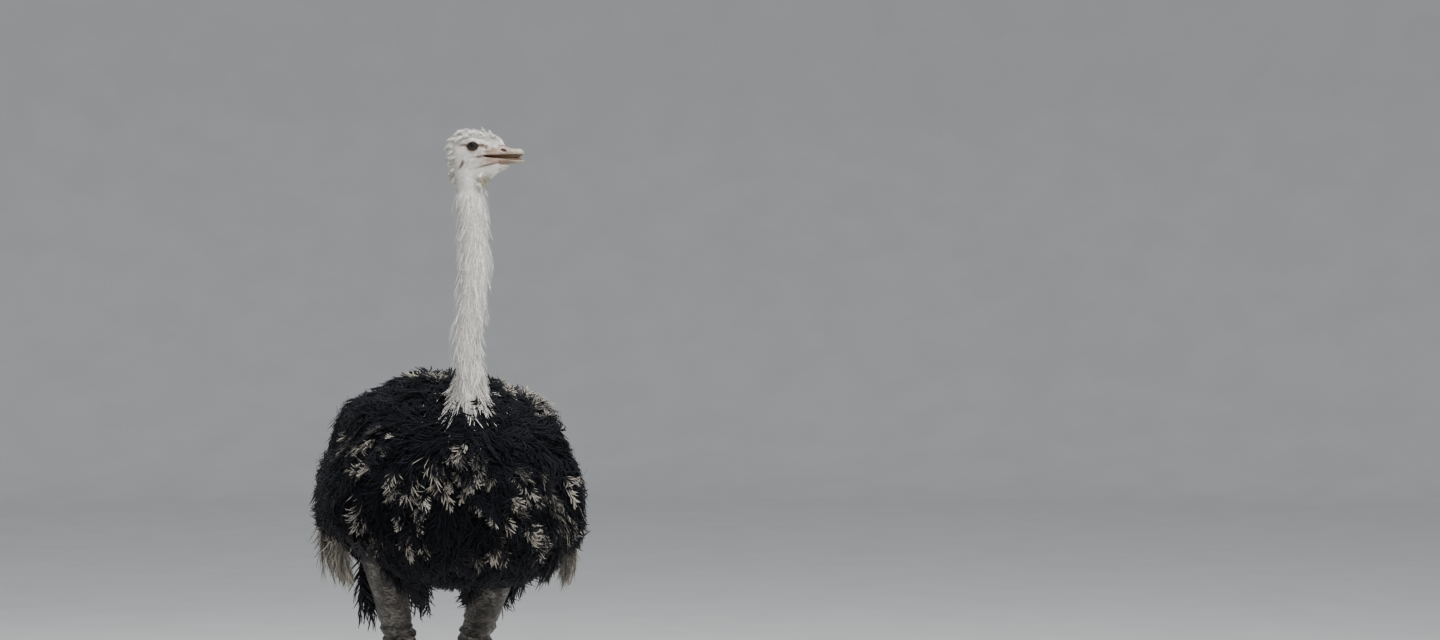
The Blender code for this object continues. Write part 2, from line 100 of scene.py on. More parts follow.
# The head: dorsal and ventral lines as (forward, up) from the eyes, and half width.
HEAD = (
    (-0.0410, -0.1260, 0.0275, -0.1240, 0.0365),
    (-0.0440, -0.1050, 0.0275, -0.1140, 0.0365),
    (-0.0495, -0.0840, 0.0290, -0.1055, 0.0370),
    (-0.0565, -0.0590, 0.0325, -0.0990, 0.0375),
    (-0.0610, -0.0320, 0.0370, -0.0940, 0.0380),
    (-0.0610, -0.0070, 0.0420, -0.0900, 0.0388),
    (-0.0550, 0.0150, 0.0475, -0.0862, 0.0395),
    (-0.0400, 0.0325, 0.0530, -0.0825, 0.0400),
    (-0.0190, 0.0400, 0.0590, -0.0788, 0.0395),
    (0.0040, 0.0408, 0.0650, -0.0748, 0.0380),
    (0.0260, 0.0368, 0.0715, -0.0705, 0.0352),
    (0.0460, 0.0315, 0.0780, -0.0665, 0.0318),
    (0.0635, 0.0264, 0.0840, -0.0630, 0.0285),
    (0.0765, 0.0198, 0.0895, -0.0600, 0.0250),
    (0.0840, 0.0125, 0.0945, -0.0570, 0.0205),
    (0.0865, 0.0050, 0.0990, -0.0543, 0.0120),
)
TRUNK_SQUARE = 0.84  # exponents of the sections, where 1 is an ellipse
HEAD_SQUARE = 0.92
NECK_START = len(TRUNK) - 2.0  # places along the sweep
HEAD_START = len(TRUNK) + len(NECK)
SWEEP_END = len(TRUNK) + len(NECK) + len(HEAD) - 1


def unit(v):
    """Vectors made 1 long."""
    return v / np.maximum(np.linalg.norm(v, axis=-1, keepdims=True), 1e-12)


def smoothstep(low, high, x):
    """0 at low and 1 at high, whichever is larger, with a smooth step t t (3 - 2 t) between."""
    t = np.clip((x - low) / (high - low), 0, 1)
    return t * t * (3 - 2 * t)


def power(x, exponent):
    """The size of x to this exponent, with x's own sign."""
    return np.sign(x) * np.abs(x) ** exponent


def circle(turns):
    """Cosine and sine of shares of a full turn."""
    return np.cos(2 * np.pi * turns), np.sin(2 * np.pi * turns)


def hump(x, middle, width):
    """A bell: 1 at middle, and the exponential of minus d squared at d widths from it."""
    return np.exp(-(((x - middle) / width) ** 2))


def blot(forward, up, middle, height, wide, tall):
    """A round bell on the side of the head."""
    return hump(forward, middle, wide) * hump(up, height, tall)


def spline(rows, at):
    """A Catmull-Rom spline through rows, at fractional row numbers."""
    rows = np.asarray(rows, float)
    padded = np.concatenate([2 * rows[:1] - rows[1:2], rows, 2 * rows[-1:] - rows[-2:-1]])
    at = np.clip(at, 0, len(rows) - 1)
    i = np.minimum(at.astype(int), len(rows) - 2)
    t = (at - i).reshape(-1, *[1] * (rows.ndim - 1))
    a, b, c, d = (padded[i + k] for k in range(4))
    return 0.5 * (2 * b + (c - a) * t + (2 * a - 5 * b + 4 * c - d) * t**2
                  + (3 * b - a - 3 * c + d) * t**3)


def head_point(forward, side, up):
    """A point of the head's own frame, whose origin is midway between the eyes, on the bird."""
    forward, side, up = np.broadcast_arrays(forward, side, up)
    return (EYE_MIDDLE + forward[..., None] * HEAD_FORWARD + side[..., None] * HEAD_SIDE
            + up[..., None] * UP)


def head_frame(points):
    """(forward, side, up) of points in the head's own frame."""
    away = points - EYE_MIDDLE
    return away @ HEAD_FORWARD, away @ HEAD_SIDE, away @ UP


# ------------------------------------------------------------------ value noise for shapes

def lattice(points, seed):
    """A random number from 0 to 1 for each whole-number point, always the same for one seed."""
    mixed = np.zeros(points.shape[:-1], np.uint32)
    for k, prime in enumerate((73856093, 19349663, 83492791)):
        mixed ^= (points[..., k].astype(np.int64) * prime & 0xFFFFFFFF).astype(np.uint32)
    mixed ^= np.uint32(seed * 2654435761 & 0xFFFFFFFF)
    mixed ^= mixed >> 15
    mixed = mixed * np.uint32(2246822519)
    mixed ^= mixed >> 13
    mixed = mixed * np.uint32(3266489917)
    mixed ^= mixed >> 16
    return mixed / 4294967295.0


def noise(points, scale, seed=0):
    """Value noise from -1 to 1: lattice numbers blended with a smooth step along each axis."""
    at = np.asarray(points) * scale
    cell = np.floor(at)
    f = at - cell
    f = f * f * (3 - 2 * f)
    total = 0.0
    for corner in range(8):
        bits = np.array([corner >> k & 1 for k in range(3)])
        weight = np.prod(np.where(bits, f, 1 - f), axis=-1)
        total = total + weight * lattice(cell + bits, seed)
    return 2 * total - 1


# ------------------------------------------------------------------ the sweep: trunk, neck, head

def sweep_rows():
    """One row for each section of the sweep: dorsal point, ventral point, half width, the turn of
    the width's direction about Z, the widest place and the squareness."""
    rows = []
    for dy, dz, vy, vz, half, widest in TRUNK:
        rows.append((0, BODY_Y + dy, dz, 0, BODY_Y + vy, vz, half, 0, widest, TRUNK_SQUARE))
    for x, y, z, half, deep, nape in NECK:
        back = deep * np.array([math.cos(math.radians(nape)), math.sin(math.radians(nape)), 0.1])
        middle = np.array([x, BODY_Y + y, z])
        rows.append((*(middle + back), *(middle - back), half, nape - 90, 0.5, 1.0))
    for ds, dh, vs, vh, half in HEAD:
        dorsal, ventral = head_point(ds, 0, dh), head_point(vs, 0, vh)
        rows.append((*dorsal, *ventral, half, 90 + math.degrees(HEAD_TURN), 0.52, HEAD_SQUARE))
    return np.array(rows, float)


SWEEP_ROWS = sweep_rows()
WING_MIDDLE, WING_REACH = (0.04, 1.165), (0.43, 0.245)
WING_SWELL, REAR_SWELL = 0.050, 0.018  # how far a wing stands out, and how much more at the rear
LEAN_HEIGHT, BELLY_LEAN = 1.040, 0.30  # below this height the belly leans to the left, by this slope


def wing_mask(points):
    """1 on a folded wing and 0 off it, with an edge about 25 mm wide: an ellipse seen from the side,
    drawn out towards the tail, on the flank only."""
    y, z = points[..., 1] - BODY_Y, points[..., 2]
    across = (y - WING_MIDDLE[0]) / WING_REACH[0]
    away = np.hypot(across, (z - WING_MIDDLE[1] + 0.03 * across) / WING_REACH[1])
    return smoothstep(1.04, 0.90, away) * smoothstep(0.16, 0.22, np.abs(points[..., 0]))


def sweep_points(u, v):
    """Points of the sweep. u from 0 to 1 goes round from the back's middle over the left side, and
    v along from the rump to the face: a section stands between the dorsal and the ventral line,
    and each of its two halves is a pair of superellipse quarters. On the trunk the belly leans, the
    wings swell out, and the shoulders, the right side low down and the neck's root draw in."""
    row = spline(SWEEP_ROWS, np.ravel(v)).reshape(*np.shape(v), -1)
    dorsal, ventral = row[..., 0:3], row[..., 3:6]
    half, turn, widest, square = (row[..., k:k + 1] for k in range(6, 10))
    cos, sin = (x[..., None] for x in circle(u))
    middle = ventral + widest * (dorsal - ventral)
    turn = np.radians(turn)
    across = np.concatenate([np.cos(turn), np.sin(turn), 0 * turn], axis=-1)
    boxy = (cos < 0) * smoothstep(0.92, 0.85, square) * smoothstep(1.0, 4.0, v)[..., None]
    high = np.where(cos > 0, dorsal - middle, middle - ventral) * power(cos, 0.98 - 0.18 * boxy)
    points = middle + high + across * np.maximum(half, 0.0005) * power(sin, square - 0.14 * boxy)
    trunk = smoothstep(NECK_START, NECK_START - 1.5, v)
    x, y, z = points[..., 0], points[..., 1] - BODY_Y, points[..., 2]
    x += trunk * BELLY_LEAN * np.maximum(LEAN_HEIGHT - z, 0)
    swell = (WING_SWELL + REAR_SWELL * smoothstep(0.05, 0.33, y)) * wing_mask(points)
    slim = 0.026 * hump(z, 1.24, 0.085) * smoothstep(0.12, 0.27, np.abs(x))
    tuck = 0.030 * hump(z, 0.95, 0.05) * smoothstep(-0.15, -0.27, x)
    lean = 0.007 * hump(z, 1.45, 0.06) * smoothstep(0.10, 0.06, np.abs(x))
    x += trunk * (np.sign(x) * (swell - slim) + tuck - lean)
    return points


class Skin:
    """The sweep worked out on a grid: any (u, v) on it gives a point, a normal and the metric.
    Columns stand closer together on the two sides, where the eyes are."""

    def __init__(self, columns, places):
        turn = np.arange(columns) / columns
        self.places, self.columns = places, columns
        self.turns = turn + 0.045 * np.sin(4 * np.pi * turn)
        u, v = np.meshgrid(self.turns, places)
        self.points = face_shape(sweep_points(u, v))
        wrapped = np.concatenate([self.points[:, -1:], self.points, self.points[:, :1]], axis=1)
        around = np.concatenate([self.turns[-1:] - 1, self.turns, self.turns[:1] + 1])
        self.along_u = np.gradient(wrapped, around, axis=1)[:, 1:-1]
        self.along_v = np.gradient(self.points, places, axis=0)
        self.normals = unit(np.cross(self.along_u, self.along_v))
        outward = self.points - self.points.mean(axis=1, keepdims=True)
        if (self.normals * outward).sum() < 0:
            self.normals = -self.normals
        area = np.linalg.norm(np.cross(self.along_u, self.along_v), axis=-1)
        self.area = area * np.gradient(around)[1:-1] * np.gradient(places)[:, None]

    def look_up(self, u, v, *grids):
        """Each grid at (u, v), blended from its four nearest corners."""
        row = np.interp(v, self.places, np.arange(len(self.places)))
        i = np.clip(row.astype(int), 0, len(self.places) - 2)
        fi = (row - i)[..., None]
        column = np.interp(np.mod(u, 1.0), np.append(self.turns, 1.0), np.arange(self.columns + 1))
        j = column.astype(int) % self.columns
        fj = (column - np.floor(column))[..., None]
        k = (j + 1) % self.columns
        return [(g[i, j] * (1 - fj) + g[i, k] * fj) * (1 - fi)
                + (g[i + 1, j] * (1 - fj) + g[i + 1, k] * fj) * fi for g in grids]

    def scatter(self, count, weight, random):
        """count random (u, v), as dense per area as weight, given at each crossing of the grid."""
        chance = np.cumsum((self.area * weight).ravel())
        pick = np.searchsorted(chance, random.random(count) * chance[-1])
        row, column = np.divmod(np.minimum(pick, self.area.size - 1), self.columns)
        v = np.interp(row + random.random(count) - 0.5, np.arange(len(self.places)), self.places)
        column = np.mod(column + random.random(count) - 0.5, self.columns)
        return np.interp(column, np.arange(self.columns + 1), np.append(self.turns, 1.0)), v

    def walk(self, u, v, field, length, stops, turn, hang=0.0):
        """Walks over the skin from (u, v) for length, in equal steps, along the directions that
        field gives for points, each laid flat and turned by turn. At every stop it keeps the point,
        the normal and the way across. Where the skin turns under, a share of the walk, hang, leaves
        it and drops straight down."""
        kept, held = [], None
        c, s = np.cos(turn)[:, None], np.sin(turn)[:, None]
        for _ in range(stops + 1):
            point, normal, pu, pv = self.look_up(u, v, self.points, self.normals, self.along_u,
                                                 self.along_v)
            normal = unit(normal)
            lie = field(point)
            lie = unit(lie - normal * (lie * normal).sum(-1, keepdims=True))
            lie = lie * c + np.cross(normal, lie) * s
            under = hang * smoothstep(-0.1, -0.6, normal[:, 2:])
            if held is not None:
                drop = held + np.array([0.0, 0.1, -1.0]) * np.reshape(length, (-1, 1)) / stops
                held = point * (1 - under) + drop * under
            else:
                held = point
            kept.append((held, normal, np.cross(normal, lie)))
            uu, uv, vv = (pu * pu).sum(-1), (pu * pv).sum(-1), (pv * pv).sum(-1)
            a, b = (lie * pu).sum(-1), (lie * pv).sum(-1)
            share = length / stops / np.maximum(uu * vv - uv * uv, 1e-9)
            u = u + np.clip((a * vv - b * uv) * share, -0.1, 0.1)
            v = v + np.clip((b * uu - a * uv) * share, -1.5, 1.5)
            u, v = np.where(v < 0, u + 0.5, u), np.minimum(np.abs(v), self.places[-1])
        return [np.stack(x) for x in zip(*kept)]


# ------------------------------------------------------------------ face: mouth, lids, ears

# All in the head's own frame, in metres from the eyes.
MOUTH_CORNER, MOUTH_HEIGHT = 0.010, -0.0253
EYE_OPENING = (0.0128, 0.0106)  # half its length and half its height
EYE_DROP = 0.0011  # of the opening's middle, below the eyeball's
EAR = (-0.0285, -0.0503)
# Creases beside the mouth and the eye: height 40 mm ahead of the eyes, depth, start and end.
CREASES = ((-0.0400, 0.0010, -0.005, 0.055), (-0.0490, 0.0010, -0.010, 0.060),
           (-0.0170, 0.0009, 0.020, 0.075), (-0.0345, 0.0008, 0.000, 0.050))
# Furrows and a ridge round the eye: how far out, where 1 is the opening's rim, and how high.
EYE_RINGS = ((1.24, -0.0007), (1.50, -0.0006), (1.80, -0.0004), (1.12, 0.0010))


def upper_mouth(forward):
    """The height of the upper jaw's edge: a line that rises forward from the mouth's corner."""
    return MOUTH_HEIGHT + 0.035 * np.maximum(forward - MOUTH_CORNER, 0)


def lower_mouth(forward):
    """The height of the lower jaw's edge: the mouth is open, and widest at the tip."""
    return MOUTH_HEIGHT - 0.0003 - 0.0118 * np.clip((forward - 0.015) / 0.10, 0, 1) ** 0.7


def mouth_slit(forward, up, edge):
    """1 between the jaws and 0 outside them, over an edge this wide; it starts behind the bill."""
    within = np.minimum(upper_mouth(forward) - up, up - lower_mouth(forward))
    return smoothstep(-edge, edge, within) * smoothstep(0.026, 0.036, forward)


def eye_round(forward, up):
    """1 on the rim of the eye's opening, an ellipse that its corners draw out, less inside it."""
    up = up + EYE_DROP - 0.04 * forward
    long = np.hypot(forward / EYE_OPENING[0], up / EYE_OPENING[1])
    return long - 0.09 * hump(up, 0, 0.004) * smoothstep(0.7, 1.0, long)


def ear_round(forward, up):
    """1 on the rim of the ear's opening, a slanting oval."""
    along = up - EAR[1]
    across = forward - EAR[0] - 0.45 * along + 22 * along**2
    return np.hypot(across / 0.0040, along / 0.0100)


def face_shape(points):
    """Shapes the head's skin by moving it out from the head's middle plane, or in. The mouth's slit
    sinks in, the lids ride over the eyeballs, which show through an opening, creases and furrows
    are bells across their lines, the brow and the jowl stand out, and the ears are pits."""
    forward, side, up = head_frame(points)
    near = (points[..., 2] > EYE_MIDDLE[2] - 0.16) & (np.abs(forward) < 0.13)
    out = np.abs(side) * (1 - 0.78 * mouth_slit(forward, up, 0.0012))
    gape = hump(up - 0.08 * (forward - 0.03), -0.0275, 0.0016)
    out -= 0.0016 * gape * smoothstep(-0.014, 0.0, forward) * smoothstep(0.040, 0.030, forward)
    for height, depth, start, end in CREASES:
        line = hump(up - 0.10 * (forward - 0.04), height, 0.0019)
        out -= depth * line * smoothstep(start, start + 0.012, forward) * smoothstep(end, end - 0.02, forward)
    reach = np.hypot(forward, up)
    ball = EYE_SIDE + np.sqrt(np.maximum((EYE_RADIUS + 0.0010) ** 2 - reach**2, 0))
    lid = np.where(reach < EYE_RADIUS, ball, 0)
    soft = 0.5 * (out + lid + np.sqrt((out - lid) ** 2 + 0.004**2)) - 0.0008
    out = np.where(reach < EYE_RADIUS + 0.008, np.maximum(soft, out), out)
    brow = hump(up + 5 * forward**2, 0.0150, 0.0036) * smoothstep(0.034, 0.016, np.abs(forward))
    hollow = blot(forward, up, 0.032, -0.002, 0.012, 0.007)
    hollow += 0.6 * blot(forward, up, -0.026, -0.001, 0.010, 0.006)
    out += 0.0026 * brow - 0.0030 * hollow
    pinch = smoothstep(0.068, 0.080, forward) * smoothstep(0.008, 0.000, up) * smoothstep(-0.050, -0.046, up)
    jowl = blot(forward, up, -0.004, -0.040, 0.028, 0.010)
    out = out * (1 - 0.22 * pinch) + 0.0022 * jowl
    place = eye_round(forward, up)
    for ring, high in EYE_RINGS:
        out += high * hump(place, ring, 0.07)
    dive = smoothstep(1.04, 0.88, place)
    out = out * (1 - dive) + np.minimum(out, 0.030) * dive
    out -= 0.0040 * smoothstep(1.35, 0.2, ear_round(forward, up))
    moved = head_point(forward, np.sign(side) * np.maximum(out, 0.0), up)
    return np.where(near[..., None], moved, points)


# ------------------------------------------------------------------ meshes

def new_object(name, points, faces, material):
    """An object at the origin whose mesh has these points, and faces given as arrays of vertex
    numbers, one array for each count of corners. It rides on the bird."""
    mesh = bpy.data.meshes.new(name)
    loops = np.concatenate([f.ravel() for f in faces]).astype(np.int32)
    sizes = np.concatenate([np.full(len(f), f.shape[1]) for f in faces])
    starts = np.concatenate([[0], np.cumsum(sizes)[:-1]]).astype(np.int32)
    mesh.vertices.add(len(points))
    mesh.vertices.foreach_set("co", np.asarray(points, np.float32).ravel())
    mesh.loops.add(len(loops))
    mesh.loops.foreach_set("vertex_index", loops)
    mesh.polygons.add(len(starts))
    mesh.polygons.foreach_set("loop_start", starts)
    mesh.update(calc_edges=True)
    mesh.shade_smooth()
    mesh.materials.append(material)
    piece = bpy.data.objects.new(name, mesh)
    bpy.context.scene.collection.objects.link(piece)
    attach(piece, "root")
    return piece


def set_attribute(piece, name, values):
    """A number for each vertex, under a name that a material reads."""
    layer = piece.data.attributes.new(name, "FLOAT", "POINT")
    layer.data.foreach_set("value", np.asarray(values, np.float32).ravel())


def tube_faces(rows, columns, offset):
    """Faces of a closed tube, with their corners numbered from offset: quads over the grid, and
    fans on a pole at the first and at the last ring. The two poles follow the grid's vertices."""
    i, j = np.meshgrid(np.arange(rows - 1), np.arange(columns), indexing="ij")
    k = (j + 1) % columns
    quads = np.stack([i * columns + j, i * columns + k, (i + 1) * columns + k, (i + 1) * columns + j], -1)
    c = np.arange(columns)
    d = (c + 1) % columns
    pole = np.full(columns, rows * columns)
    last = (rows - 1) * columns
    fans = np.concatenate([np.stack([d, c, pole], -1), np.stack([c + last, d + last, pole + 1], -1)])
    return quads.reshape(-1, 4) + offset, fans + offset


class Parts:
    """Closed tubes gathered into one mesh, with named marks for each vertex."""

    def __init__(self):
        self.points, self.quads, self.fans, self.marks = [], [], [], {}
        self.count = 0

    def tube(self, grid, ends=None, **marks):
        """Adds a tube over grid (rows, columns, 3). Its poles are the end rings' middles, or ends.
        Its faces are turned so that they point out."""
        along = np.gradient(grid.mean(axis=1), axis=0)[:, None]
        out = grid - grid.mean(axis=1, keepdims=True)
        inside_out = (np.cross(np.roll(grid, -1, axis=1) - grid, along) * out).sum() < 0
        quads, fans = tube_faces(*grid.shape[:2], self.count)
        if inside_out:
            quads, fans = quads[:, ::-1], fans[:, ::-1]
        ends = ends or (grid[0].mean(axis=0), grid[-1].mean(axis=0))
        self.points.append(np.concatenate([grid.reshape(-1, 3), ends]))
        self.quads.append(quads)
        self.fans.append(fans)
        for name, value in marks.items():
            value = np.broadcast_to(np.asarray(value, float), grid.shape[:2]).ravel()
            self.marks.setdefault(name, {})[self.count] = np.append(value, (value[0], value[-1]))
        self.count += len(self.points[-1])

    def object(self, name, material, names):
        """The tubes as one piece, with these of their marks as attributes, 0 where not given."""
        points = np.concatenate(self.points)
        faces = [np.concatenate(self.quads), np.concatenate(self.fans)]
        piece = new_object(name, points, faces, material)
        for mark in names:
            values = np.zeros(len(points))
            for start, found in self.marks.get(mark, {}).items():
                values[start:start + len(found)] = found
            set_attribute(piece, mark, values)
        return piece


def ring_grid(centres, across, widths, depths, columns):
    """A profile carried along a path: at each centre an ellipse of half widths along across and
    half depths square to it and to the path."""
    along = unit(np.gradient(centres, axis=0))
    deep = unit(np.cross(along, across))
    wide = np.cross(deep, along)
    cos, sin = (x[:, None] for x in circle(np.arange(columns) / columns))
    return (centres[:, None] + cos * (wide * np.reshape(widths, (-1, 1)))[:, None]
            + sin * (deep * np.reshape(depths, (-1, 1)))[:, None])


# ------------------------------------------------------------------ locks

def lock_mesh(paths, ups, widths, thick, roll):
    """Locks as closed three-sided tapers.

    paths is (n, k + 1, 3): k rings and a tip. At each ring stand three corners: the path moved
    sideways by plus and minus the half width, and lifted by the share thick of it, all turned by
    roll about the path. Returns points (n, 3k + 1, 3) and faces for one mesh.
    """
    n, k = paths.shape[0], paths.shape[1] - 1
    along = unit(np.gradient(paths, axis=1))
    side = unit(np.cross(along, ups))
    lift = np.cross(side, along)
    c, s = (f(np.broadcast_to(roll, n))[:, None, None] for f in (np.cos, np.sin))
    side, lift = side * c + lift * s, lift * c - side * s
    half = widths[:, :k, None]
    rings = np.stack([paths[:, :k] + side[:, :k] * half,
                      paths[:, :k] + lift[:, :k] * half * thick,
                      paths[:, :k] - side[:, :k] * half], axis=2)
    points = np.concatenate([rings.reshape(n, 3 * k, 3), paths[:, k:]], axis=1)
    ring, corner = np.meshgrid(np.arange(k - 1), np.arange(3), indexing="ij")
    after = (corner + 1) % 3
    quads = 3 * np.stack([ring, ring + 1, ring + 1, ring], -1) + np.stack([corner, corner, after, after], -1)
    last = 3 * (k - 1)
    tips = np.array([[0, 1, 2], *[[last + j, 3 * k, last + (j + 1) % 3] for j in range(3)]])
    start = (np.arange(n) * (3 * k + 1))[:, None, None]
    return points, [(quads.reshape(-1, 4) + start).reshape(-1, 4), (tips + start).reshape(-1, 3)]


SPREAD, DRAWN_IN = 0.388, 0.65  # how far out plumage stands freely, and the share of more taken off
TUFT_PATCH = 0.003  # how wide each lock's place on its colour map is
QUILL_STEPS, QUILL_END = 6, 0.999  # steps along a quill, and the share of it that they cover


class Coat:
    """Locks gathered for one piece, with the numbers that its material reads."""

    def __init__(self):
        self.batches = []

    def add(self, paths, ups, widths, thick, roots, pale, shade, roll=0.0):
        """roots are the (u, v) places of the locks' roots on the skin; pale and shade are one
        number for each lock, or for each of its rings and its tip."""
        n, k = paths.shape[0], paths.shape[1] - 1
        beyond = np.maximum(np.abs(paths[..., 0]) - SPREAD, 0)
        paths[..., 0] -= DRAWN_IN * beyond * np.sign(paths[..., 0])
        points, faces = lock_mesh(paths, ups, widths, thick, roll)
        rings = [np.broadcast_to(x if np.ndim(x) == 2 else np.reshape(x, (-1, 1)), (n, k + 1))
                 for x in (pale, shade, np.linspace(0, 1, k + 1)[None])]
        marks = [np.concatenate([np.repeat(x[:, :k], 3, axis=1), x[:, k:]], axis=1) for x in rings]
        wide = np.append(np.tile([0.0, 0.5, 1.0], k), 0.5)[None]
        tall = marks[2] + np.append(np.tile([0.0, 0.12, 0.0], k), 0.0)[None]
        place = np.stack([roots[:, :1] + TUFT_PATCH * (wide - 0.5), roots[:, 1:] + TUFT_PATCH * tall], -1)
        self.batches.append((points.reshape(-1, 3), faces, [m.ravel() for m in marks], place.reshape(-1, 2)))

    def object(self, name, material):
        """The locks as one piece, with their marks and a colour map that spans the unit square."""
        sizes = np.cumsum([0] + [len(b[0]) for b in self.batches])
        faces = [np.concatenate([b[1][k] + size for b, size in zip(self.batches, sizes)]) for k in (0, 1)]
        piece = new_object(name, np.concatenate([b[0] for b in self.batches]), faces, material)
        for k, mark in enumerate(("pale", "shade", "along")):
            set_attribute(piece, mark, np.concatenate([b[2][k] for b in self.batches]))
        place = np.concatenate([b[3] for b in self.batches])
        low, high = place.min(axis=0), place.max(axis=0)
        place = 0.01 + 0.98 * (place - low) / (high - low)
        layer = piece.data.uv_layers.new(name="OFBake")
        loops = np.empty(len(piece.data.loops), np.int32)
        piece.data.loops.foreach_get("vertex_index", loops)
        layer.uv.foreach_set("vector", place[loops].astype(np.float32).ravel())
        return piece


def ring_places(segments):
    """Shares of a lock's length where its rings stand: the last is near the tip, which is blunt."""
    return 1 - (1 - np.linspace(0, 1, segments + 1)) ** 1.75


def tufts(skin, random, u, v, length, rise, half_width, segments, turn=0.3, bend=0.35):
    """One lock of down for each (u, v), as paths, ways up and half widths: it leaves the skin at the
    angle rise and bends back towards it, while it walks along the lie of the down."""
    n = len(u)
    points, normals, _ = skin.walk(u, v, down_lie, length * np.cos(rise), segments, random.normal(0, turn, n))
    q = ring_places(segments)[:, None]
    i = np.minimum((q[:, 0] * segments).astype(int), segments - 1)
    share = (q[:, 0] * segments - i)[:, None, None]
    points, normals = (x[i] * (1 - share) + x[i + 1] * share for x in (points, normals))
    height = length * np.sin(rise) * (q - bend * q**2) - 0.0004
    paths = (points + normals * height[..., None]).transpose(1, 0, 2)
    widths = half_width * np.interp(q[:, 0], (0, 0.3, 0.7, 1), (0.7, 1.0, 0.8, 0.3))
    return paths, normals.transpose(1, 0, 2), widths * random.uniform(0.7, 1.3, (n, 1))


def plumes(random, stops, length, barbs, depth, half_width, segments, openness, curl, lift, droop,
           reach_share, roll):
    """The locks of plumes, as paths, the ways up and half widths at each ring, and each lock's plume.

    stops gives the points, normals and ways across at seven stops along each plume's quill. Its
    barbs leave it in turn to either side, at an angle within openness, each reach_share as long as
    the plume near its root and shorter towards its tip, and bend by about curl, in degrees, as they
    go. All rise with the distance from the plume's root, to depth at its tip, so that each plume
    lies over the next one's root, and their tips lift or droop. A plume's vane tilts by roll.
    """
    points, normals, across = stops
    n = points.shape[1]
    order = np.arange(barbs)
    start = np.clip((order + 0.5) / barbs * 0.74 + random.normal(0, 0.03, (n, barbs)), 0, 0.8)
    side = np.where(order % 2, 1.0, -1.0) * np.where(order >= barbs - 2, 0.35, 1.0)
    reach = length[:, None] * (reach_share - 0.24 * start) * random.uniform(0.75, 1.2, (n, barbs))
    opening = np.radians(random.uniform(*openness, (n, barbs)))
    bend = np.radians(random.normal(0, curl, (n, 1)) * side + random.normal(0, 0.5 * curl, (n, barbs)))
    opening = opening * (1.1 - 0.5 * start)
    q = ring_places(segments)
    angle = opening[..., None] + bend[..., None] * q
    step = reach[..., None] * np.diff(q, prepend=0)
    stride = [np.cumsum(way(angle) * step, axis=-1) for way in (np.cos, np.sin)]
    phase = random.uniform(0, 2 * np.pi, (n, barbs, 1))
    wave = 0.07 * reach[..., None] * q * np.sin(2 * np.pi * 1.1 * q + phase)
    a = start[..., None] + stride[0] / length[:, None, None]
    b = side[:, None] * stride[1] + wave
    rise = np.broadcast_to(depth, n) * random.uniform(0.7, 1.15, n)
    h = rise[:, None, None] * np.clip(a, 0, 1.2) ** 0.8 + 0.0008
    h = h + lift * random.normal(0.25, 0.7, (n, barbs, 1)) * q**2
    h = h + b * random.normal(0, roll, (n, 1, 1))
    at = np.clip(a, 0, QUILL_END) * QUILL_STEPS
    i = at.astype(int)
    f = (at - i)[..., None]
    over = np.maximum(a - QUILL_END, 0)[..., None] * QUILL_STEPS
    rows = np.arange(n)[:, None, None]
    point, normal, sideways = (x[i, rows] * (1 - f) + x[i + 1, rows] * f for x in (points, normals, across))
    point = point + (points[-1] - points[-2])[:, None, None] * over
    paths = point + sideways * b[..., None] + normal * np.maximum(h, 0.0006)[..., None]
    paths[..., 2] -= droop * (reach[..., None] * q) ** 2
    widths = half_width * np.interp(q, (0, 0.3, 0.7, 1), (0.65, 1.0, 0.85, 0.3))
    widths = widths * random.uniform(0.75, 1.25, (n * barbs, 1))
    flat = (n * barbs, segments + 1, 3)
    return paths.reshape(flat), normal.reshape(flat), widths, np.repeat(np.arange(n), barbs)


# ------------------------------------------------------------------ lie and markings

NECK_ROOT = np.array([0.0, BODY_Y - 0.385, 1.33])
# Patches of pale flecks on the breast: across, height and radius of each.
FLECK_PATCHES = np.array((
    (-0.252, 1.248, 0.016), (-0.275, 1.222, 0.014), (-0.222, 1.226, 0.014), (-0.246, 1.200, 0.012),
    (-0.283, 1.150, 0.012), (-0.276, 1.125, 0.011), (-0.070, 1.185, 0.020), (-0.035, 1.200, 0.018),
    (-0.005, 1.165, 0.022), (-0.085, 1.130, 0.022), (-0.045, 1.135, 0.024), (0.010, 1.125, 0.022),
    (-0.020, 1.095, 0.018), (-0.215, 1.122, 0.026), (-0.190, 1.100, 0.018), (-0.165, 1.058, 0.026),
    (-0.130, 1.075, 0.018), (0.098, 1.170, 0.018), (0.130, 1.135, 0.022), (0.085, 1.110, 0.024),
    (0.150, 1.095, 0.020), (0.110, 1.070, 0.022), (0.070, 1.045, 0.018), (0.225, 1.062, 0.026),
    (0.255, 1.030, 0.018), (0.040, 0.960, 0.024), (0.075, 0.950, 0.020), (0.184, 0.978, 0.024),
    (0.150, 1.000, 0.016), (-0.245, 0.985, 0.020), (-0.225, 0.960, 0.018), (-0.289, 1.030, 0.016),
    (-0.150, 0.968, 0.020), (-0.115, 0.958, 0.016), (0.005, 1.035, 0.016),
    (-0.066, 1.405, 0.016), (0.060, 1.412, 0.014), (0.150, 1.385, 0.018), (0.205, 1.345, 0.019),
    (0.240, 1.300, 0.014), (0.262, 1.130, 0.016), (0.285, 1.080, 0.012)))


def stray(points, scale, seed, share):
    """A wandering direction of about this share, from three noises."""
    return share * np.stack([noise(points, scale, seed + k) for k in range(3)], axis=-1)


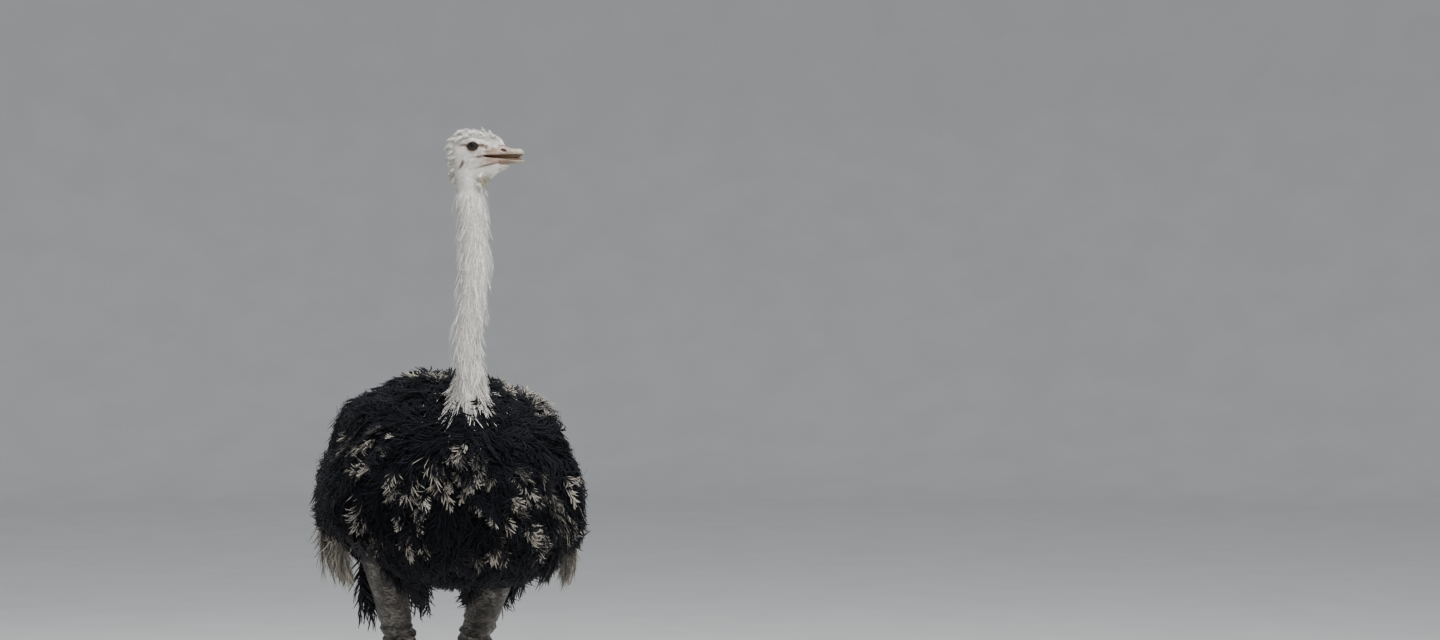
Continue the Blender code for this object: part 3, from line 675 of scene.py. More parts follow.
def body_lie(points):
    """Down and back, away from the neck's root near it, outward on the back, and wandering by up
    to about 20 degrees."""
    away = points - NECK_ROOT
    near = np.exp(-((away**2).sum(-1, keepdims=True)) / 0.20**2)
    outward = np.clip(points[..., :1] / 0.15, -1, 1) * smoothstep(1.25, 1.42, points[..., 2:])
    way = 0.9 * near * unit(away * (1, 1, 0) - UP * 0.05) + (0.0, 0.62, -0.88)
    return way + 0.25 * outward * (1, 0, 0) + stray(points, 7.0, 1, 0.45)


def wing_lie(points):
    """Back and down, along the folded wing."""
    return stray(points, 6.0, 4, 0.28) + (0.0, 0.86, -0.50)


def down_lie(points):
    """Down the neck; back and down on the head, from the bill."""
    face = smoothstep(-0.13, -0.07, head_frame(points)[2])[..., None]
    return -UP * (1 - 0.45 * face) - HEAD_FORWARD * face * 0.9 + stray(points, 60.0, 7, 0.25)


def fleck_patches(points):
    """1 in the pale patches on the breast and the shoulders, and 0 off them."""
    x, y, z = (points[..., k] for k in range(3))
    away = np.hypot(x[..., None] - FLECK_PATCHES[:, 0], z[..., None] - FLECK_PATCHES[:, 1])
    return hump(away, 0, FLECK_PATCHES[:, 2]).max(axis=-1) * smoothstep(-0.08, -0.16, y)


def fleck_chance(points):
    """How likely a plume whose end is at points is pale: low, in blots on the lower body."""
    z = points[..., 2]
    low = smoothstep(1.26, 1.12, z) * smoothstep(0.86, 0.92, z)
    return low * smoothstep(0.25, 0.6, noise(points, 17.0, 21)) * 0.25


def white_share(points):
    """1 on the white neck and 0 on the black body, over a ragged edge with three long points, and
    only near the neck's own line."""
    x, y, z = (points[..., k] for k in range(3))
    edge = 1.366 + 0.020 * noise(points * (1, 1, 0.2), 70.0, 31)
    for across, drop in ((-0.052, 0.045), (-0.004, 0.045), (0.042, 0.065)):
        edge = edge - drop * hump(x, across, 0.013)
    away = np.hypot(x + 0.008, (y - BODY_Y + 0.393) * 0.8)
    reach = np.interp(z, (1.30, 1.38, 1.44, 1.50), (0.050, 0.039, 0.041, 0.2))
    return smoothstep(-0.012, 0.012, z - edge) * smoothstep(0.012, -0.006, away - reach)


# Where bare skin meets the down, ahead of the eye: forward, and how far up it comes.
BARE_LINE = ((0.008, 0.022, 0.050, 0.066, 0.073, 0.085, 0.095),
             (-0.022, -0.012, -0.002, -0.003, 0, 0.007, 0.008))


def face_marks(points):
    """Shares of bare skin, brown lines, yellow throat and the mouth's inside on the head.

    Bare are the skin between mouth and eye, the lower jaw, a ring round the eye and a spot behind
    it. Brown are a line through the eye, the fold of its lid with painted shadow of the brow on it,
    the lore ahead of it, the mouth's corner, a line under the jaw widened into painted shade under
    the bill, the ear and the eye's rim, with a tone over the cheek, the lower face and the nape that
    is part dinge and part painted shade, darker than the crown."""
    forward, side, up = head_frame(points)
    patchy = noise(points, 150.0, 42) + 0.5 * noise(points, 420.0, 43)
    gape = blot(forward, up - 0.12 * (forward - 0.018), 0.018, -0.0290, 0.015, 0.0038)

    above = smoothstep(-0.0045, 0.0045, np.interp(forward, *BARE_LINE) + 0.003 * patchy - up)
    above *= smoothstep(-0.004, 0.060, forward + 0.008 * patchy) ** 0.7
    above *= smoothstep(0.0, 0.004, up - upper_mouth(forward) + 0.006)
    bill_root = smoothstep(0.064, 0.074, forward + 0.004 * patchy)
    bill_root *= smoothstep(0.010, 0.004, up) * smoothstep(-0.054, -0.048, up)
    below = smoothstep(0.0, 0.003, lower_mouth(forward) + 0.002 - up)
    below *= smoothstep(-0.0530, -0.0450, up - 0.10 * (forward - 0.02) + 0.002 * patchy)
    below *= smoothstep(-0.012, 0.050, forward + 0.008 * patchy)
    ring = 0.5 * smoothstep(1.75, 1.2, eye_round(forward, up)) * (np.abs(side) > 0.02)
    behind = 0.40 * blot(forward, up, -0.028, -0.010, 0.010, 0.006)
    bare = np.clip(np.max([above, bill_root, below, ring, gape, behind], axis=0), 0, 1)

    line = hump(up, 0.0030, 0.0040) * smoothstep(0.012, 0.015, np.abs(forward))
    line *= np.where(forward < 0, 0.9, 1.1) * smoothstep(0.040, 0.032, np.abs(forward + 0.001))
    # Painted shadow of the brow, laid on the fold of the upper lid.
    lid = 0.6 * hump(up + 14 * forward**2, 0.0150, 0.0030) * smoothstep(0.018, 0.010, np.abs(forward + 0.002))
    lore = 1.1 * blot(forward, up, 0.044, -0.004, 0.017, 0.0095)
    lore *= smoothstep(-0.1, 0.35, noise(points * (1, 1, 1.6), 210.0, 41) + 0.35 * patchy)
    # A brown line under the jaw, made broad as painted shade under the bill.
    chin = 0.95 * hump(up - 0.24 * (forward - 0.0325), -0.0530, 0.0032)
    chin *= smoothstep(0.000, 0.025, forward) * smoothstep(0.092, 0.070, forward)
    ear = 0.8 * smoothstep(2.2, 0.5, ear_round(forward, up))
    rim = smoothstep(1.36, 1.10, eye_round(forward, up))
    # Part dinge, part painted shade: patches darken the under-eye, the lower face and the nape, below the
    # lighter crown.
    dinge_and_shade = 0.28 * blot(forward, up, 0.030, -0.016, 0.036, 0.020)
    dinge_and_shade += 0.20 * smoothstep(0.008, -0.004, up) * smoothstep(-0.075, -0.055, up)
    dinge_and_shade += 0.20 * smoothstep(-0.030, -0.055, forward)
    dinge_and_shade *= smoothstep(-0.8, 0.8, patchy)
    brown = np.clip(line + lid + lore + 0.9 * gape + chin + ear + rim + dinge_and_shade, 0, 1) * (np.abs(side) > 0.012)

    throat = 0.85 * blot(forward, up, 0.038, -0.090, 0.022, 0.013)
    head = smoothstep(-0.15, -0.14, up)
    return [head * share for share in (bare, brown, throat, mouth_slit(forward, up, 0.001))]


# ------------------------------------------------------------------ materials

class Wire:
    """A shader socket. Sums, differences and products with it add Math nodes."""

    def __init__(self, shader, socket):
        self.shader, self.socket = shader, socket

    def maths(self, operation, *others):
        return self.shader.node("ShaderNodeMath", {"operation": operation}, dict(enumerate(others)))

    def __add__(self, other):
        return self.maths("ADD", self, other)

    def __sub__(self, other):
        return self.maths("SUBTRACT", self, other)

    def __rsub__(self, other):
        return self.maths("SUBTRACT", other, self)

    def __mul__(self, other):
        return self.maths("MULTIPLY", self, other)


class Shader:
    """A material made node by node round one Principled surface, whose constants are given."""

    def __init__(self, name, colour, **constants):
        self.material = bpy.data.materials.new(name)
        self.material.use_nodes = True
        self.material.diffuse_color = (*colour, 1)
        self.tree = self.material.node_tree
        self.surface = self.tree.nodes["Principled BSDF"]
        for socket, value in constants.items():
            self.surface.inputs[socket.replace("_", " ")].default_value = value

    def node(self, kind, settings, sockets, out=0):
        """Adds a node of this kind, makes its settings, then fills or links its sockets."""
        made = self.tree.nodes.new(kind)
        for name, value in settings.items():
            setattr(made, name, value)
        for key, value in sockets.items():
            if isinstance(value, Wire):
                self.tree.links.new(value.socket, made.inputs[key])
            else:
                made.inputs[key].default_value = value
        return Wire(self, made.outputs[out])

    def attribute(self, name):
        return self.node("ShaderNodeAttribute", {"attribute_name": name}, {}, "Fac")

    def place(self, stretch):
        """Object coordinates, stretched."""
        where = self.node("ShaderNodeTexCoord", {}, {}, "Object")
        return self.node("ShaderNodeMapping", {}, {"Vector": where, "Scale": stretch})

    def noise(self, scale, detail=3.0, stretch=(1, 1, 1), rough=0.55):
        return self.node("ShaderNodeTexNoise", {}, {"Vector": self.place(stretch), "Scale": scale,
                                                    "Detail": detail, "Roughness": rough}, "Fac")

    def cells(self, scale, feature="F1", stretch=(1, 1, 1)):
        return self.node("ShaderNodeTexVoronoi", {"feature": feature},
                         {"Vector": self.place(stretch), "Scale": scale}, "Distance")

    def limits(self, value, low, high, to_low=0.0, to_high=1.0):
        """value from low to high, made to_low to to_high with a smooth step."""
        return self.node("ShaderNodeMapRange", {"interpolation_type": "SMOOTHSTEP"},
                         {0: value, 1: low, 2: high, 3: to_low, 4: to_high})

    def mix(self, share, a, b):
        """Colour a turned into colour b by share."""
        a, b = ((*x, 1) if isinstance(x, tuple) else x for x in (a, b))
        return self.node("ShaderNodeMix", {"data_type": "RGBA", "clamp_factor": True},
                         {0: share, 6: a, 7: b}, 2)

    def finish(self, colour, roughness, height, distance, strength=1.0):
        """Links colour, roughness and a bump of this height to the surface. Returns the material."""
        bump = self.node("ShaderNodeBump", {}, {"Height": height, "Distance": distance, "Strength": strength})
        for key, wire in (("Base Color", colour), ("Roughness", roughness), ("Normal", bump)):
            self.tree.links.new(wire.socket, self.surface.inputs[key])
        return self.material


def scaled(colour, share):
    """A colour times share, which is one number or one for each channel."""
    return tuple(c * k for c, k in zip(colour, np.broadcast_to(share, 3).tolist()))


def plumage_finish(name, dark, light, pale, sheen=0.03, tint=(0.45, 0.5, 0.7)):
    """Barbs: from dark to light by the shade mark and noise, so dark at the root and a little lighter along
    the edge of the vane where the shade mark holds painted shade and painted light, with a painted highlight
    of light at 2.6 times on the locks whose mark is highest; pale where marked, with fine streaks along the
    lock."""
    s = Shader(name, dark, Sheen_Weight=sheen, Sheen_Roughness=0.45, Sheen_Tint=(*tint, 1), IOR=1.5,
               Specular_IOR_Level=0.05)
    along, shade, share = (s.attribute(x) for x in ("along", "shade", "pale"))
    fine = s.noise(420.0, 2.0, (1, 1, 0.25))
    broad = s.noise(14.0, 3.0)
    tone = s.limits(shade * 0.75 + broad * 0.35 + fine * 0.25, 0.25, 1.05)
    # From dark to light by the shade mark, which on the body plumes carries painted shade at the roots and
    # painted light at the tips, and by noise.
    base = s.mix(tone, dark, light)
    # Painted highlight: the locks whose shade mark is highest take light at 2.6 times.
    base = s.mix(s.limits(shade + fine * 0.3, 0.85, 1.15), base, scaled(light, 2.6))
    white = s.mix(s.limits(fine * 0.6 + along * 0.4, 0.15, 0.75), scaled(pale, 0.55), pale)
    white = s.mix(s.limits(broad, 0.35, 0.75) * 0.5, white, scaled(pale, (0.78, 0.70, 0.58)))
    colour = s.mix(s.limits(share + fine * 0.3 - 0.15, 0.1, 0.75), base, white)
    rough = s.limits(fine, 0.2, 0.8, 0.50, 0.70) + share * 0.15
    return s.finish(colour, rough, fine + s.cells(260.0, stretch=(1, 1, 0.3)) * 0.4, 0.0012, 0.5)


def down_finish():
    """White down, greyer at its roots, yellow at the throat and brown on the face's lines, which are partly
    painted shade.
    """
    s = Shader("white_down", (0.6, 0.59, 0.56), Sheen_Weight=0.35, Sheen_Roughness=0.5,
               Sheen_Tint=(1, 0.98, 0.94, 1), Specular_IOR_Level=0.25)
    along, shade, share, warm = (s.attribute(x) for x in ("along", "shade", "pale", "warm"))
    fine = s.noise(900.0, 2.0)
    broad = s.noise(45.0, 4.0)
    white = s.mix(s.limits(along * 0.6 + fine * 0.5, 0.15, 0.85), (0.58, 0.555, 0.505), (0.94, 0.915, 0.855))
    white = s.mix(s.limits(broad, 0.5, 0.8) * 0.35, white, (0.64, 0.605, 0.54))
    white = s.mix(warm, white, (0.36, 0.32, 0.15))
    colour = s.mix(share, (0.018, 0.018, 0.021), white)
    colour = s.mix(shade, colour, (0.13, 0.085, 0.055))
    return s.finish(colour, s.limits(fine, 0.2, 0.8, 0.6, 0.85), fine, 0.0004, 0.4)


SKIN_MARKS = ("white", "bare", "brown", "warm", "mouth", "leg", "plate")


def skin_finish():
    """Skin: down-white on the neck, pink-beige on the face, brown lines that are partly painted shade, dusky
    under the plumage, grey-pink with folds on the legs and painted shade in the folds' valleys, horn-grey
    where the legs' plates are, and red in the mouth."""
    s = Shader("skin", (0.5, 0.42, 0.36), Subsurface_Weight=0.06, Subsurface_Scale=0.004,
               Sheen_Weight=0.05, Specular_IOR_Level=0.22)
    s.surface.inputs["Subsurface Radius"].default_value = (1.0, 0.4, 0.25)
    white, bare, brown, warm, mouth, leg, plate = (s.attribute(x) for x in SKIN_MARKS)
    fine, broad = s.noise(700.0, 4.0), s.noise(34.0, 4.0)
    pores = s.cells(620.0)
    folds = s.noise(70.0, 5.0, (1, 1, 2.4), 0.66)
    down = s.mix(s.limits(fine, 0.3, 0.7), (0.58, 0.565, 0.53), (0.80, 0.785, 0.75))
    down = s.mix(s.limits(broad, 0.45, 0.75) * 0.35, down, (0.56, 0.51, 0.46))
    pink = s.mix(s.limits(fine * 0.5 + broad * 0.5, 0.35, 0.65), (0.29, 0.200, 0.160), (0.42, 0.305, 0.250))
    pink = s.mix(s.limits(pores, 0.25, 0.0) * 0.5, pink, (0.33, 0.21, 0.17))
    dusk = s.mix(s.limits(broad, 0.35, 0.7), (0.005, 0.005, 0.006), (0.014, 0.013, 0.014))
    # Painted shade: the shank's skin is near black in the valleys of the folds' bump and lighter on their
    # ridges.
    shank = s.mix(s.limits(folds * 0.7 + fine * 0.3, 0.43, 0.58), (0.010, 0.009, 0.008), (0.15, 0.142, 0.125))
    shank = s.mix(s.limits(s.noise(16.0, 4.0), 0.42, 0.60) * 0.80, shank, (0.018, 0.015, 0.013))
    shank = s.mix(s.limits(broad, 0.5, 0.75) * 0.3, shank, (0.19, 0.145, 0.12))
    horn = s.mix(s.limits(s.noise(55.0, 5.0, (1, 1, 3)), 0.35, 0.7), (0.12, 0.10, 0.082), (0.25, 0.22, 0.185))
    colour = s.mix(white, dusk, down)
    for share, layer in ((bare, pink), (warm * 0.8, (0.42, 0.36, 0.20)), (brown, (0.13, 0.07, 0.045)),
                         (mouth, (0.10, 0.035, 0.022)), (leg, shank), (plate, horn)):
        colour = s.mix(share, colour, layer)
    rough = s.limits(fine, 0.3, 0.7, 0.55, 0.75) - plate * 0.15 - mouth * 0.25
    scales = s.limits(s.cells(170.0, "DISTANCE_TO_EDGE"), 0.0, 0.10)
    grain = (fine * 0.35 + pores * 0.25) * (1 - leg * 0.5)
    height = grain + leg * (folds * 1.2 + scales * 0.35 * (1 - plate))
    return s.finish(colour, rough, height, 0.0012, 0.7)


def horn_finish(name, base, root, tip, dark, scale=1.0):
    """Horn in fine layers along its length, with painted shade in its hollows, worn pale at the edge."""
    s = Shader(name, root, Coat_Weight=0.12, Coat_Roughness=0.35, Subsurface_Weight=0.08,
               Subsurface_Scale=0.003, Specular_IOR_Level=0.45)
    along, pit = s.attribute("along"), s.attribute("pit")
    streaks = s.noise(260.0 * scale, 4.0, (0.35, 1, 1))
    blots = s.noise(70.0 * scale, 4.0)
    colour = s.mix(s.limits(along, 0.30, 0.75), root, tip)
    colour = s.mix(s.limits(along, 0.42, 0.18), colour, base)
    colour = s.mix(s.limits(streaks * 0.6 + blots * 0.4, 0.4, 0.68) * 0.5, colour, scaled(root, 0.68))
    # Painted shade: the colour dark in the nostrils and on the flesh under the upper bill.
    colour = s.mix(pit, colour, dark)
    rough = s.limits(blots, 0.3, 0.7, 0.36, 0.56)
    return s.finish(colour, rough, streaks + s.cells(500.0 * scale) * 0.3, 0.0005, 0.6)


def eye_finish():
    """A dark brown eye with a large pupil, fine spokes and a dark rim, under a clear gloss."""
    s = Shader("eye_brown", (0.05, 0.025, 0.018), Coat_Weight=0.35, Coat_Roughness=0.04, IOR=1.4,
               Specular_IOR_Level=0.2)
    ring, spoke = s.attribute("ring"), s.attribute("spoke")
    rays = s.node("ShaderNodeTexNoise", {"noise_dimensions": "1D"},
                  {"W": spoke, "Scale": 60.0, "Detail": 3.0}, "Fac")
    iris = s.mix(s.limits(rays, 0.3, 0.7), (0.030, 0.019, 0.014), (0.060, 0.036, 0.026))
    iris = s.mix(s.limits(ring, 0.50, 0.66), iris, (0.016, 0.012, 0.010))
    colour = s.mix(s.limits(ring, 0.46, 0.34), iris, (0.009, 0.008, 0.007))
    colour = s.mix(s.limits(ring, 0.80, 1.0), colour, (0.05, 0.035, 0.028))
    return s.finish(colour, s.limits(rays, 0.0, 1.0, 0.08, 0.16), rays, 0.0002, 0.2)


def floor_finish():
    """Matt pale plaster with a faint mottle."""
    s = Shader("studio_floor", (0.62, 0.61, 0.59), Specular_IOR_Level=0.2)
    mottle = s.noise(2.2, 5.0)
    colour = s.mix(s.limits(mottle, 0.3, 0.7), (0.585, 0.58, 0.565), (0.615, 0.61, 0.595))
    return s.finish(colour, s.limits(mottle, 0.2, 0.8, 0.8, 0.9), s.noise(60.0), 0.0006, 0.2)


# ------------------------------------------------------------------ shared shapes

def places(*stretches):
    """Places along a sweep, in stretches of (start, end, count) that may stand closer or wider."""
    return np.unique(np.concatenate([np.linspace(*stretch) for stretch in stretches]))


SKIN_PLACES = places((0, NECK_START, 62), (NECK_START, HEAD_START, 60), (HEAD_START, SWEEP_END, 196))
worked_out = {}


def bird_skin():
    """The bird's swept skin, worked out once."""
    if "skin" not in worked_out:
        worked_out["skin"] = Skin(160, SKIN_PLACES)
    return worked_out["skin"]


# The left leg: middle (out, y, z), half width, half depth, and the pitch of its front, in degrees,
# which turns from below level on the thigh to straight up on the toe.
LEG = (
    (0.2000, -0.010, 1.020, 0.0560, 0.1080, -18),
    (0.1850, 0.010, 0.960, 0.0700, 0.1200, -18),
    (0.1610, 0.039, 0.869, 0.0560, 0.1050, -18),
    (0.1370, 0.068, 0.778, 0.0475, 0.0840, -17),
    (0.1140, 0.097, 0.687, 0.0448, 0.0625, -15),
    (0.0900, 0.126, 0.596, 0.0350, 0.0435, -10),
    (0.0660, 0.153, 0.508, 0.0330, 0.0390, 0),
    (0.0690, 0.146, 0.465, 0.0320, 0.0385, 9),
    (0.0735, 0.131, 0.405, 0.0225, 0.0290, 13),
    (0.0830, 0.0975, 0.2695, 0.0197, 0.0243, 14),
    (0.0930, 0.063, 0.128, 0.0212, 0.0243, 16),
    (0.0975, 0.049, 0.078, 0.0260, 0.0280, 28),
    (0.1000, 0.034, 0.042, 0.0290, 0.0370, 52),
    (0.1010, 0.002, 0.0290, 0.0295, 0.0285, 80),
    (0.1020, -0.035, 0.0262, 0.0295, 0.0260, 90),
    (0.1035, -0.070, 0.0235, 0.0275, 0.0232, 90),
    (0.1050, -0.098, 0.0205, 0.0240, 0.0202, 90),
    (0.1060, -0.1135, 0.0165, 0.0180, 0.0150, 90),
    (0.1065, -0.1220, 0.0145, 0.0085, 0.0075, 90),
)
LEG_FOOT = 11.0  # the row where the foot starts
LEG_PLACES = places((0, 3.5, 18), (3.5, 4.6, 60), (4.6, 7, 28), (7, LEG_FOOT, 120), (LEG_FOOT, 18, 60))
PADS = (12.6, 14.6, 16.6)  # the rows in the middle of the pads under the big toe
# The folds of the thigh: row, half width in rows, and depth.
FOLDS = ((4.02, 0.085, 0.0075), (3.74, 0.07, 0.0035), (4.34, 0.08, 0.0040), (5.45, 0.10, 0.0016))


def on_side(points, side):
    """Points of the left leg, put in place on the left (1) or the right (-1), with a flat sole."""
    points[..., 2] = np.maximum(points[..., 2], 0.0)
    points[..., 0] = side * points[..., 0] + LEGS_SHIFT
    points[..., 1] += BODY_Y
    return points


def leg_points(u, v, side):
    """Points of a leg's skin: ellipses of the rows' half width out and half depth to the front,
    moved out along themselves by the height of the folds round the thigh, of the plates down the
    front of the shank and foot, and of the tendon behind; with pads under the toe."""
    row = spline(LEG, np.ravel(v)).reshape(*np.shape(v), -1)
    pitch = np.radians(row[..., 5:6])
    front = np.concatenate([0 * pitch, -np.cos(pitch), np.sin(pitch)], axis=-1)
    cos, sin = circle(u)
    way = front * cos[..., None] * row[..., 4:5] + np.array([1.0, 0, 0]) * sin[..., None] * row[..., 3:4]
    points = row[..., :3] + way
    thigh = 1 - smoothstep(5.6, 7.2, v)
    height = 0.0030 * plate_share(u, v) * (plate_ridge(v) ** 1.3 - 0.4)
    for place, wide, deep in FOLDS:
        at = v - place - 0.16 * np.sin(2 * np.pi * u + 3 * place) - 0.07 * noise(points, 22.0, 51)
        fold = hump(at, wide, 0.8 * wide) - hump(at, -wide, wide)
        height = height + deep * fold * smoothstep(-0.9, 0.5, cos + 0.4)
    crease = 1 - np.abs(noise(points * (1, 1, 2.6) + 0.02 * noise(points, 30.0, 54)[..., None], 40.0, 52))
    height = height + thigh * (0.0024 * crease**3 + 0.0007 * noise(points, 120.0, 53))
    height = height + 0.0050 * hump(u, 0.5, 0.045) * smoothstep(4.0, 5.2, v) * smoothstep(8.4, 7.0, v)
    points = points + unit(way) * height[..., None]
    pads = sum(hump(v, place, 0.75) for place in PADS) - 0.5
    points[..., 2] -= 0.004 * pads * smoothstep(-0.2, -0.8, cos) * smoothstep(LEG_FOOT, LEG_FOOT + 1, v)
    return on_side(points, side)


def plate_ridge(v):
    """Rises from 0 to 1 over each plate of a leg's front, then drops to 0 where the next begins:
    the count of plates from the joint down to v, less its whole part."""
    return np.mod(np.interp(v, (6, 7, 8, 9, 10, 11, 13, 18), (0, 2, 4.5, 10, 15.5, 18.5, 23, 34)), 1.0)


def plate_share(u, v):
    """1 on the row of plates down the front of the shank and over the toe."""
    return smoothstep(0.25, 0.6, circle(u)[0]) * smoothstep(6.2, 7.4, v)


BIG_TOE_SPLAY, SMALL_TOE_SPLAY = 2, 25  # degrees outward from straight ahead
SMALL_TOE_LENGTH, SMALL_TOE_ROOT = 0.108, np.array([0.104, 0.022, 0.0])
# Shares of its length, and its half width and half height there.
SMALL_TOE = ((0, 0.3, 0.6, 0.85, 0.96, 1), (0.017, 0.0195, 0.0185, 0.016, 0.011, 0.004),
             (0.020, 0.0185, 0.0165, 0.0145, 0.011, 0.005))


def toe_way(splay):
    """Ahead and across of a left toe that splays outward by this many degrees."""
    sin, cos = math.sin(math.radians(splay)), math.cos(math.radians(splay))
    return np.array([sin, -cos, 0.0]), np.array([cos, sin, 0.0])


def small_toe_points(u, v, side):
    """The small toe: ellipses carried forward and out from the foot's middle, v from 0 to 1, with
    two joints, plates on top and a flat sole."""
    ahead, across = toe_way(SMALL_TOE_SPLAY)
    half, tall = (np.interp(v, SMALL_TOE[0], sizes) for sizes in SMALL_TOE[1:])
    half = half * (1 + 0.05 * np.cos(v * 15))
    cos, sin = circle(u)
    swell = 1 + 0.05 * smoothstep(0.2, 0.6, cos) * np.mod(v * 9, 1.0) ** 1.6
    points = (SMALL_TOE_ROOT + ahead * (SMALL_TOE_LENGTH * v)[..., None]
              + across * (half * sin * swell)[..., None] + UP * (tall * (1 + cos * swell))[..., None])
    return on_side(points, side)


def sphere_grid(middle, axis, radius, rows, columns, bulge):
    """A ball whose pole points along axis, swelled by bulge near it, as a ring grid, its two poles,
    and the angle from the pole and round it at each vertex of the grid."""
    axis = unit(axis)
    first = unit(np.cross(axis, UP))
    theta, phi = np.meshgrid(np.pi * np.linspace(0, 1, rows + 2), 2 * np.pi * np.arange(columns) / columns,
                             indexing="ij")
    swell = radius * (1 + bulge * hump(theta, 0, 0.6))[..., None]
    around = np.cos(phi)[..., None] * first + np.sin(phi)[..., None] * np.cross(axis, first)
    grid = middle + swell * (np.cos(theta)[..., None] * axis + np.sin(theta)[..., None] * around)
    return grid[1:-1], (grid[0, 0], grid[-1, 0]), theta[1:-1], phi[1:-1]


# The bill: (forward, half width, top of the upper half, thickness of the lower half).
BILL = (
    (0.0240, 0.0270, -0.0160, 0.0150), (0.0500, 0.0285, -0.0060, 0.0150),
    (0.0700, 0.0288, 0.0030, 0.0132), (0.0840, 0.0277, 0.0042, 0.0118),
    (0.0920, 0.0262, 0.0014, 0.0112), (0.1000, 0.0244, -0.0020, 0.0108),
    (0.1100, 0.0226, -0.0046, 0.0102), (0.1220, 0.0202, -0.0056, 0.0096),
    (0.1310, 0.0172, -0.0060, 0.0088), (0.1370, 0.0132, -0.0088, 0.0072),
    (0.1405, 0.0088, -0.0125, 0.0052), (0.1424, 0.0040, -0.0175, 0.0030))
NOSTRIL = (0.0845, -0.0112)
NOSTRIL_SIZE = (0.0084, 0.0044)
GROOVE, NAIL = 0.1175, (0.1165, 0.1215)  # forward of the groove over the bill, and where its nail rises


def bill_half(upper, rows, columns):
    """Half of the bill, swept forward. Its outer side is an arch from cutting edge to cutting edge
    and its inner side a shallow hollow. The upper half has a nostril in each side, a groove over
    it and a nail at its tip. Gives the grid, how deep each vertex lies in the nostril, and its
    share of the way to the tip."""
    share = np.linspace(0, 1, rows) ** 0.8
    row = spline(BILL, share * (len(BILL) - 1))
    forward, half, top, thick = (row[:, k:k + 1] for k in range(4))
    cos, sin = circle(np.arange(columns) / columns)
    nail = smoothstep(*NAIL, forward)
    groove = hump(forward, GROOVE, 0.0018)
    side = half * power(sin, 0.8) * (1 + 0.015 * nail - 0.02 * groove)
    if upper:
        edge = upper_mouth(forward)
        arch = (top - edge) * (1 - 0.05 * groove + 0.03 * nail)
        up = np.where(cos > 0, edge + arch * np.maximum(cos, 0) ** 0.8, edge + 0.0030 * np.abs(cos))
    else:
        edge = lower_mouth(forward)
        up = np.where(cos > 0, edge - 0.0026 * np.abs(cos), edge - thick * np.maximum(-cos, 0) ** 0.75)
    outer = (cos > 0) == upper
    ridge = hump(np.abs(side) / np.maximum(half, 1e-6), 0.62, 0.07) * outer * smoothstep(0.09, 0.10, forward)
    up = up - (0.0006 if upper else -0.0005) * ridge
    forward = forward + 0 * up
    # How deep each vertex lies in the nostril: it dents the side in, and the horn's finish darkens it as
    # painted shade.
    pit = 0 * up
    if upper:
        slanted = up - NOSTRIL[1] + 0.20 * (forward - NOSTRIL[0])
        away = np.hypot((forward - NOSTRIL[0]) / NOSTRIL_SIZE[0], slanted / NOSTRIL_SIZE[1])
        pit = smoothstep(1.25, 0.45, away) * outer * (np.abs(side) > 0.006)
    return head_point(forward, side * (1 - 0.22 * pit), up), pit, share[:, None] + 0 * up


def claw_grid(root, ahead, length, girth, rows, columns):
    """A claw: a blunt cone that runs ahead and droops, with a flat underside, and fine growth
    rings round it."""
    share = np.linspace(0, 1, rows)[:, None]
    cos, sin = circle(np.arange(columns) / columns)
    size = girth * (1 - share**2.2) ** 0.7 * (1 - 0.25 * share) * (1 + 0.02 * np.sin(60 * share))
    across = unit(np.cross(ahead, UP))
    tall = np.where(cos > 0, 1.05, 0.72)
    middle = root + ahead * (share * length)[..., None] - UP * (0.30 * girth * share**1.6)[..., None]
    grid = middle + across * (size * sin)[..., None] + UP * (size * tall * cos)[..., None]
    grid[..., 2] = np.maximum(grid[..., 2], 0.0004)
    return grid, share + 0 * cos


# ------------------------------------------------------------------ settings

def colour_setting(name, description, default):
    return FloatVectorProperty(name=name, description=description, default=default, subtype="COLOR",
                               min=0, max=1)


def length_setting(name, description, default):
    return FloatProperty(name=name, description=description, default=default, unit="LENGTH",
                         subtype="DISTANCE")


class OstrichFeathers(PropertyGroup):
    """Sizes and colours of the plumage."""

    plume_length: length_setting("Plume length", "Length of a body plume", 0.105)
    wing_length: length_setting("Wing plume length", "Length of a plume on the folded wing", 0.135)
    depth: length_setting("Depth", "How far body plumes' tips stand off the skin", 0.027)
    barb_width: length_setting("Lock width", "Half the width of one lock of barbs", 0.0022)
    down_length: length_setting("Down length", "Length of the down on the neck", 0.013)
    black: colour_setting("Black", "Plumage in its depth", (0.0030, 0.0031, 0.0037))
    # A painted highlight: the black plumage's colour where light catches it, brighter still on the lightest
    # locks.
    sheen: colour_setting("Black's edge", "Plumage where its vanes' edges catch the light",
                          (0.0105, 0.0112, 0.0145))
    fleck: colour_setting("Fleck", "Pale ends of plumes on the breast", (0.46, 0.43, 0.38))
    quill: colour_setting("Wing and tail", "Pale plumes under the wings and in the tail",
                          (0.40, 0.375, 0.325))


class OstrichStage(PropertyGroup):
    """Where the viewer stands."""

    distance: length_setting("Distance", "Camera to the middle of the trunk, level", 9.86)
    eye_level: length_setting("Eye level", "Height of the camera", 1.62)
    bearing: FloatProperty(name="Bearing", description="Camera's place round the bird from straight ahead",
                           default=math.radians(-9), subtype="ANGLE", unit="ROTATION")
    lens: FloatProperty(name="Lens", description="Focal length on a sensor 36 mm wide", default=86.3,
                        unit="CAMERA")


# ------------------------------------------------------------------ steps: skin and horn

class OstrichStep:
    """What the operators share."""

    bl_options = {"REGISTER", "UNDO"}

    def execute(self, context):
        self.build(context.scene.ostrich_feathers, context.scene.ostrich_stage)
        return {"FINISHED"}


def settle(piece, slot, *nodes):
    """Hides these solids, if there are any, as the piece stands for them. piece and slot are not used."""
    if nodes:
        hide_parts(*nodes)


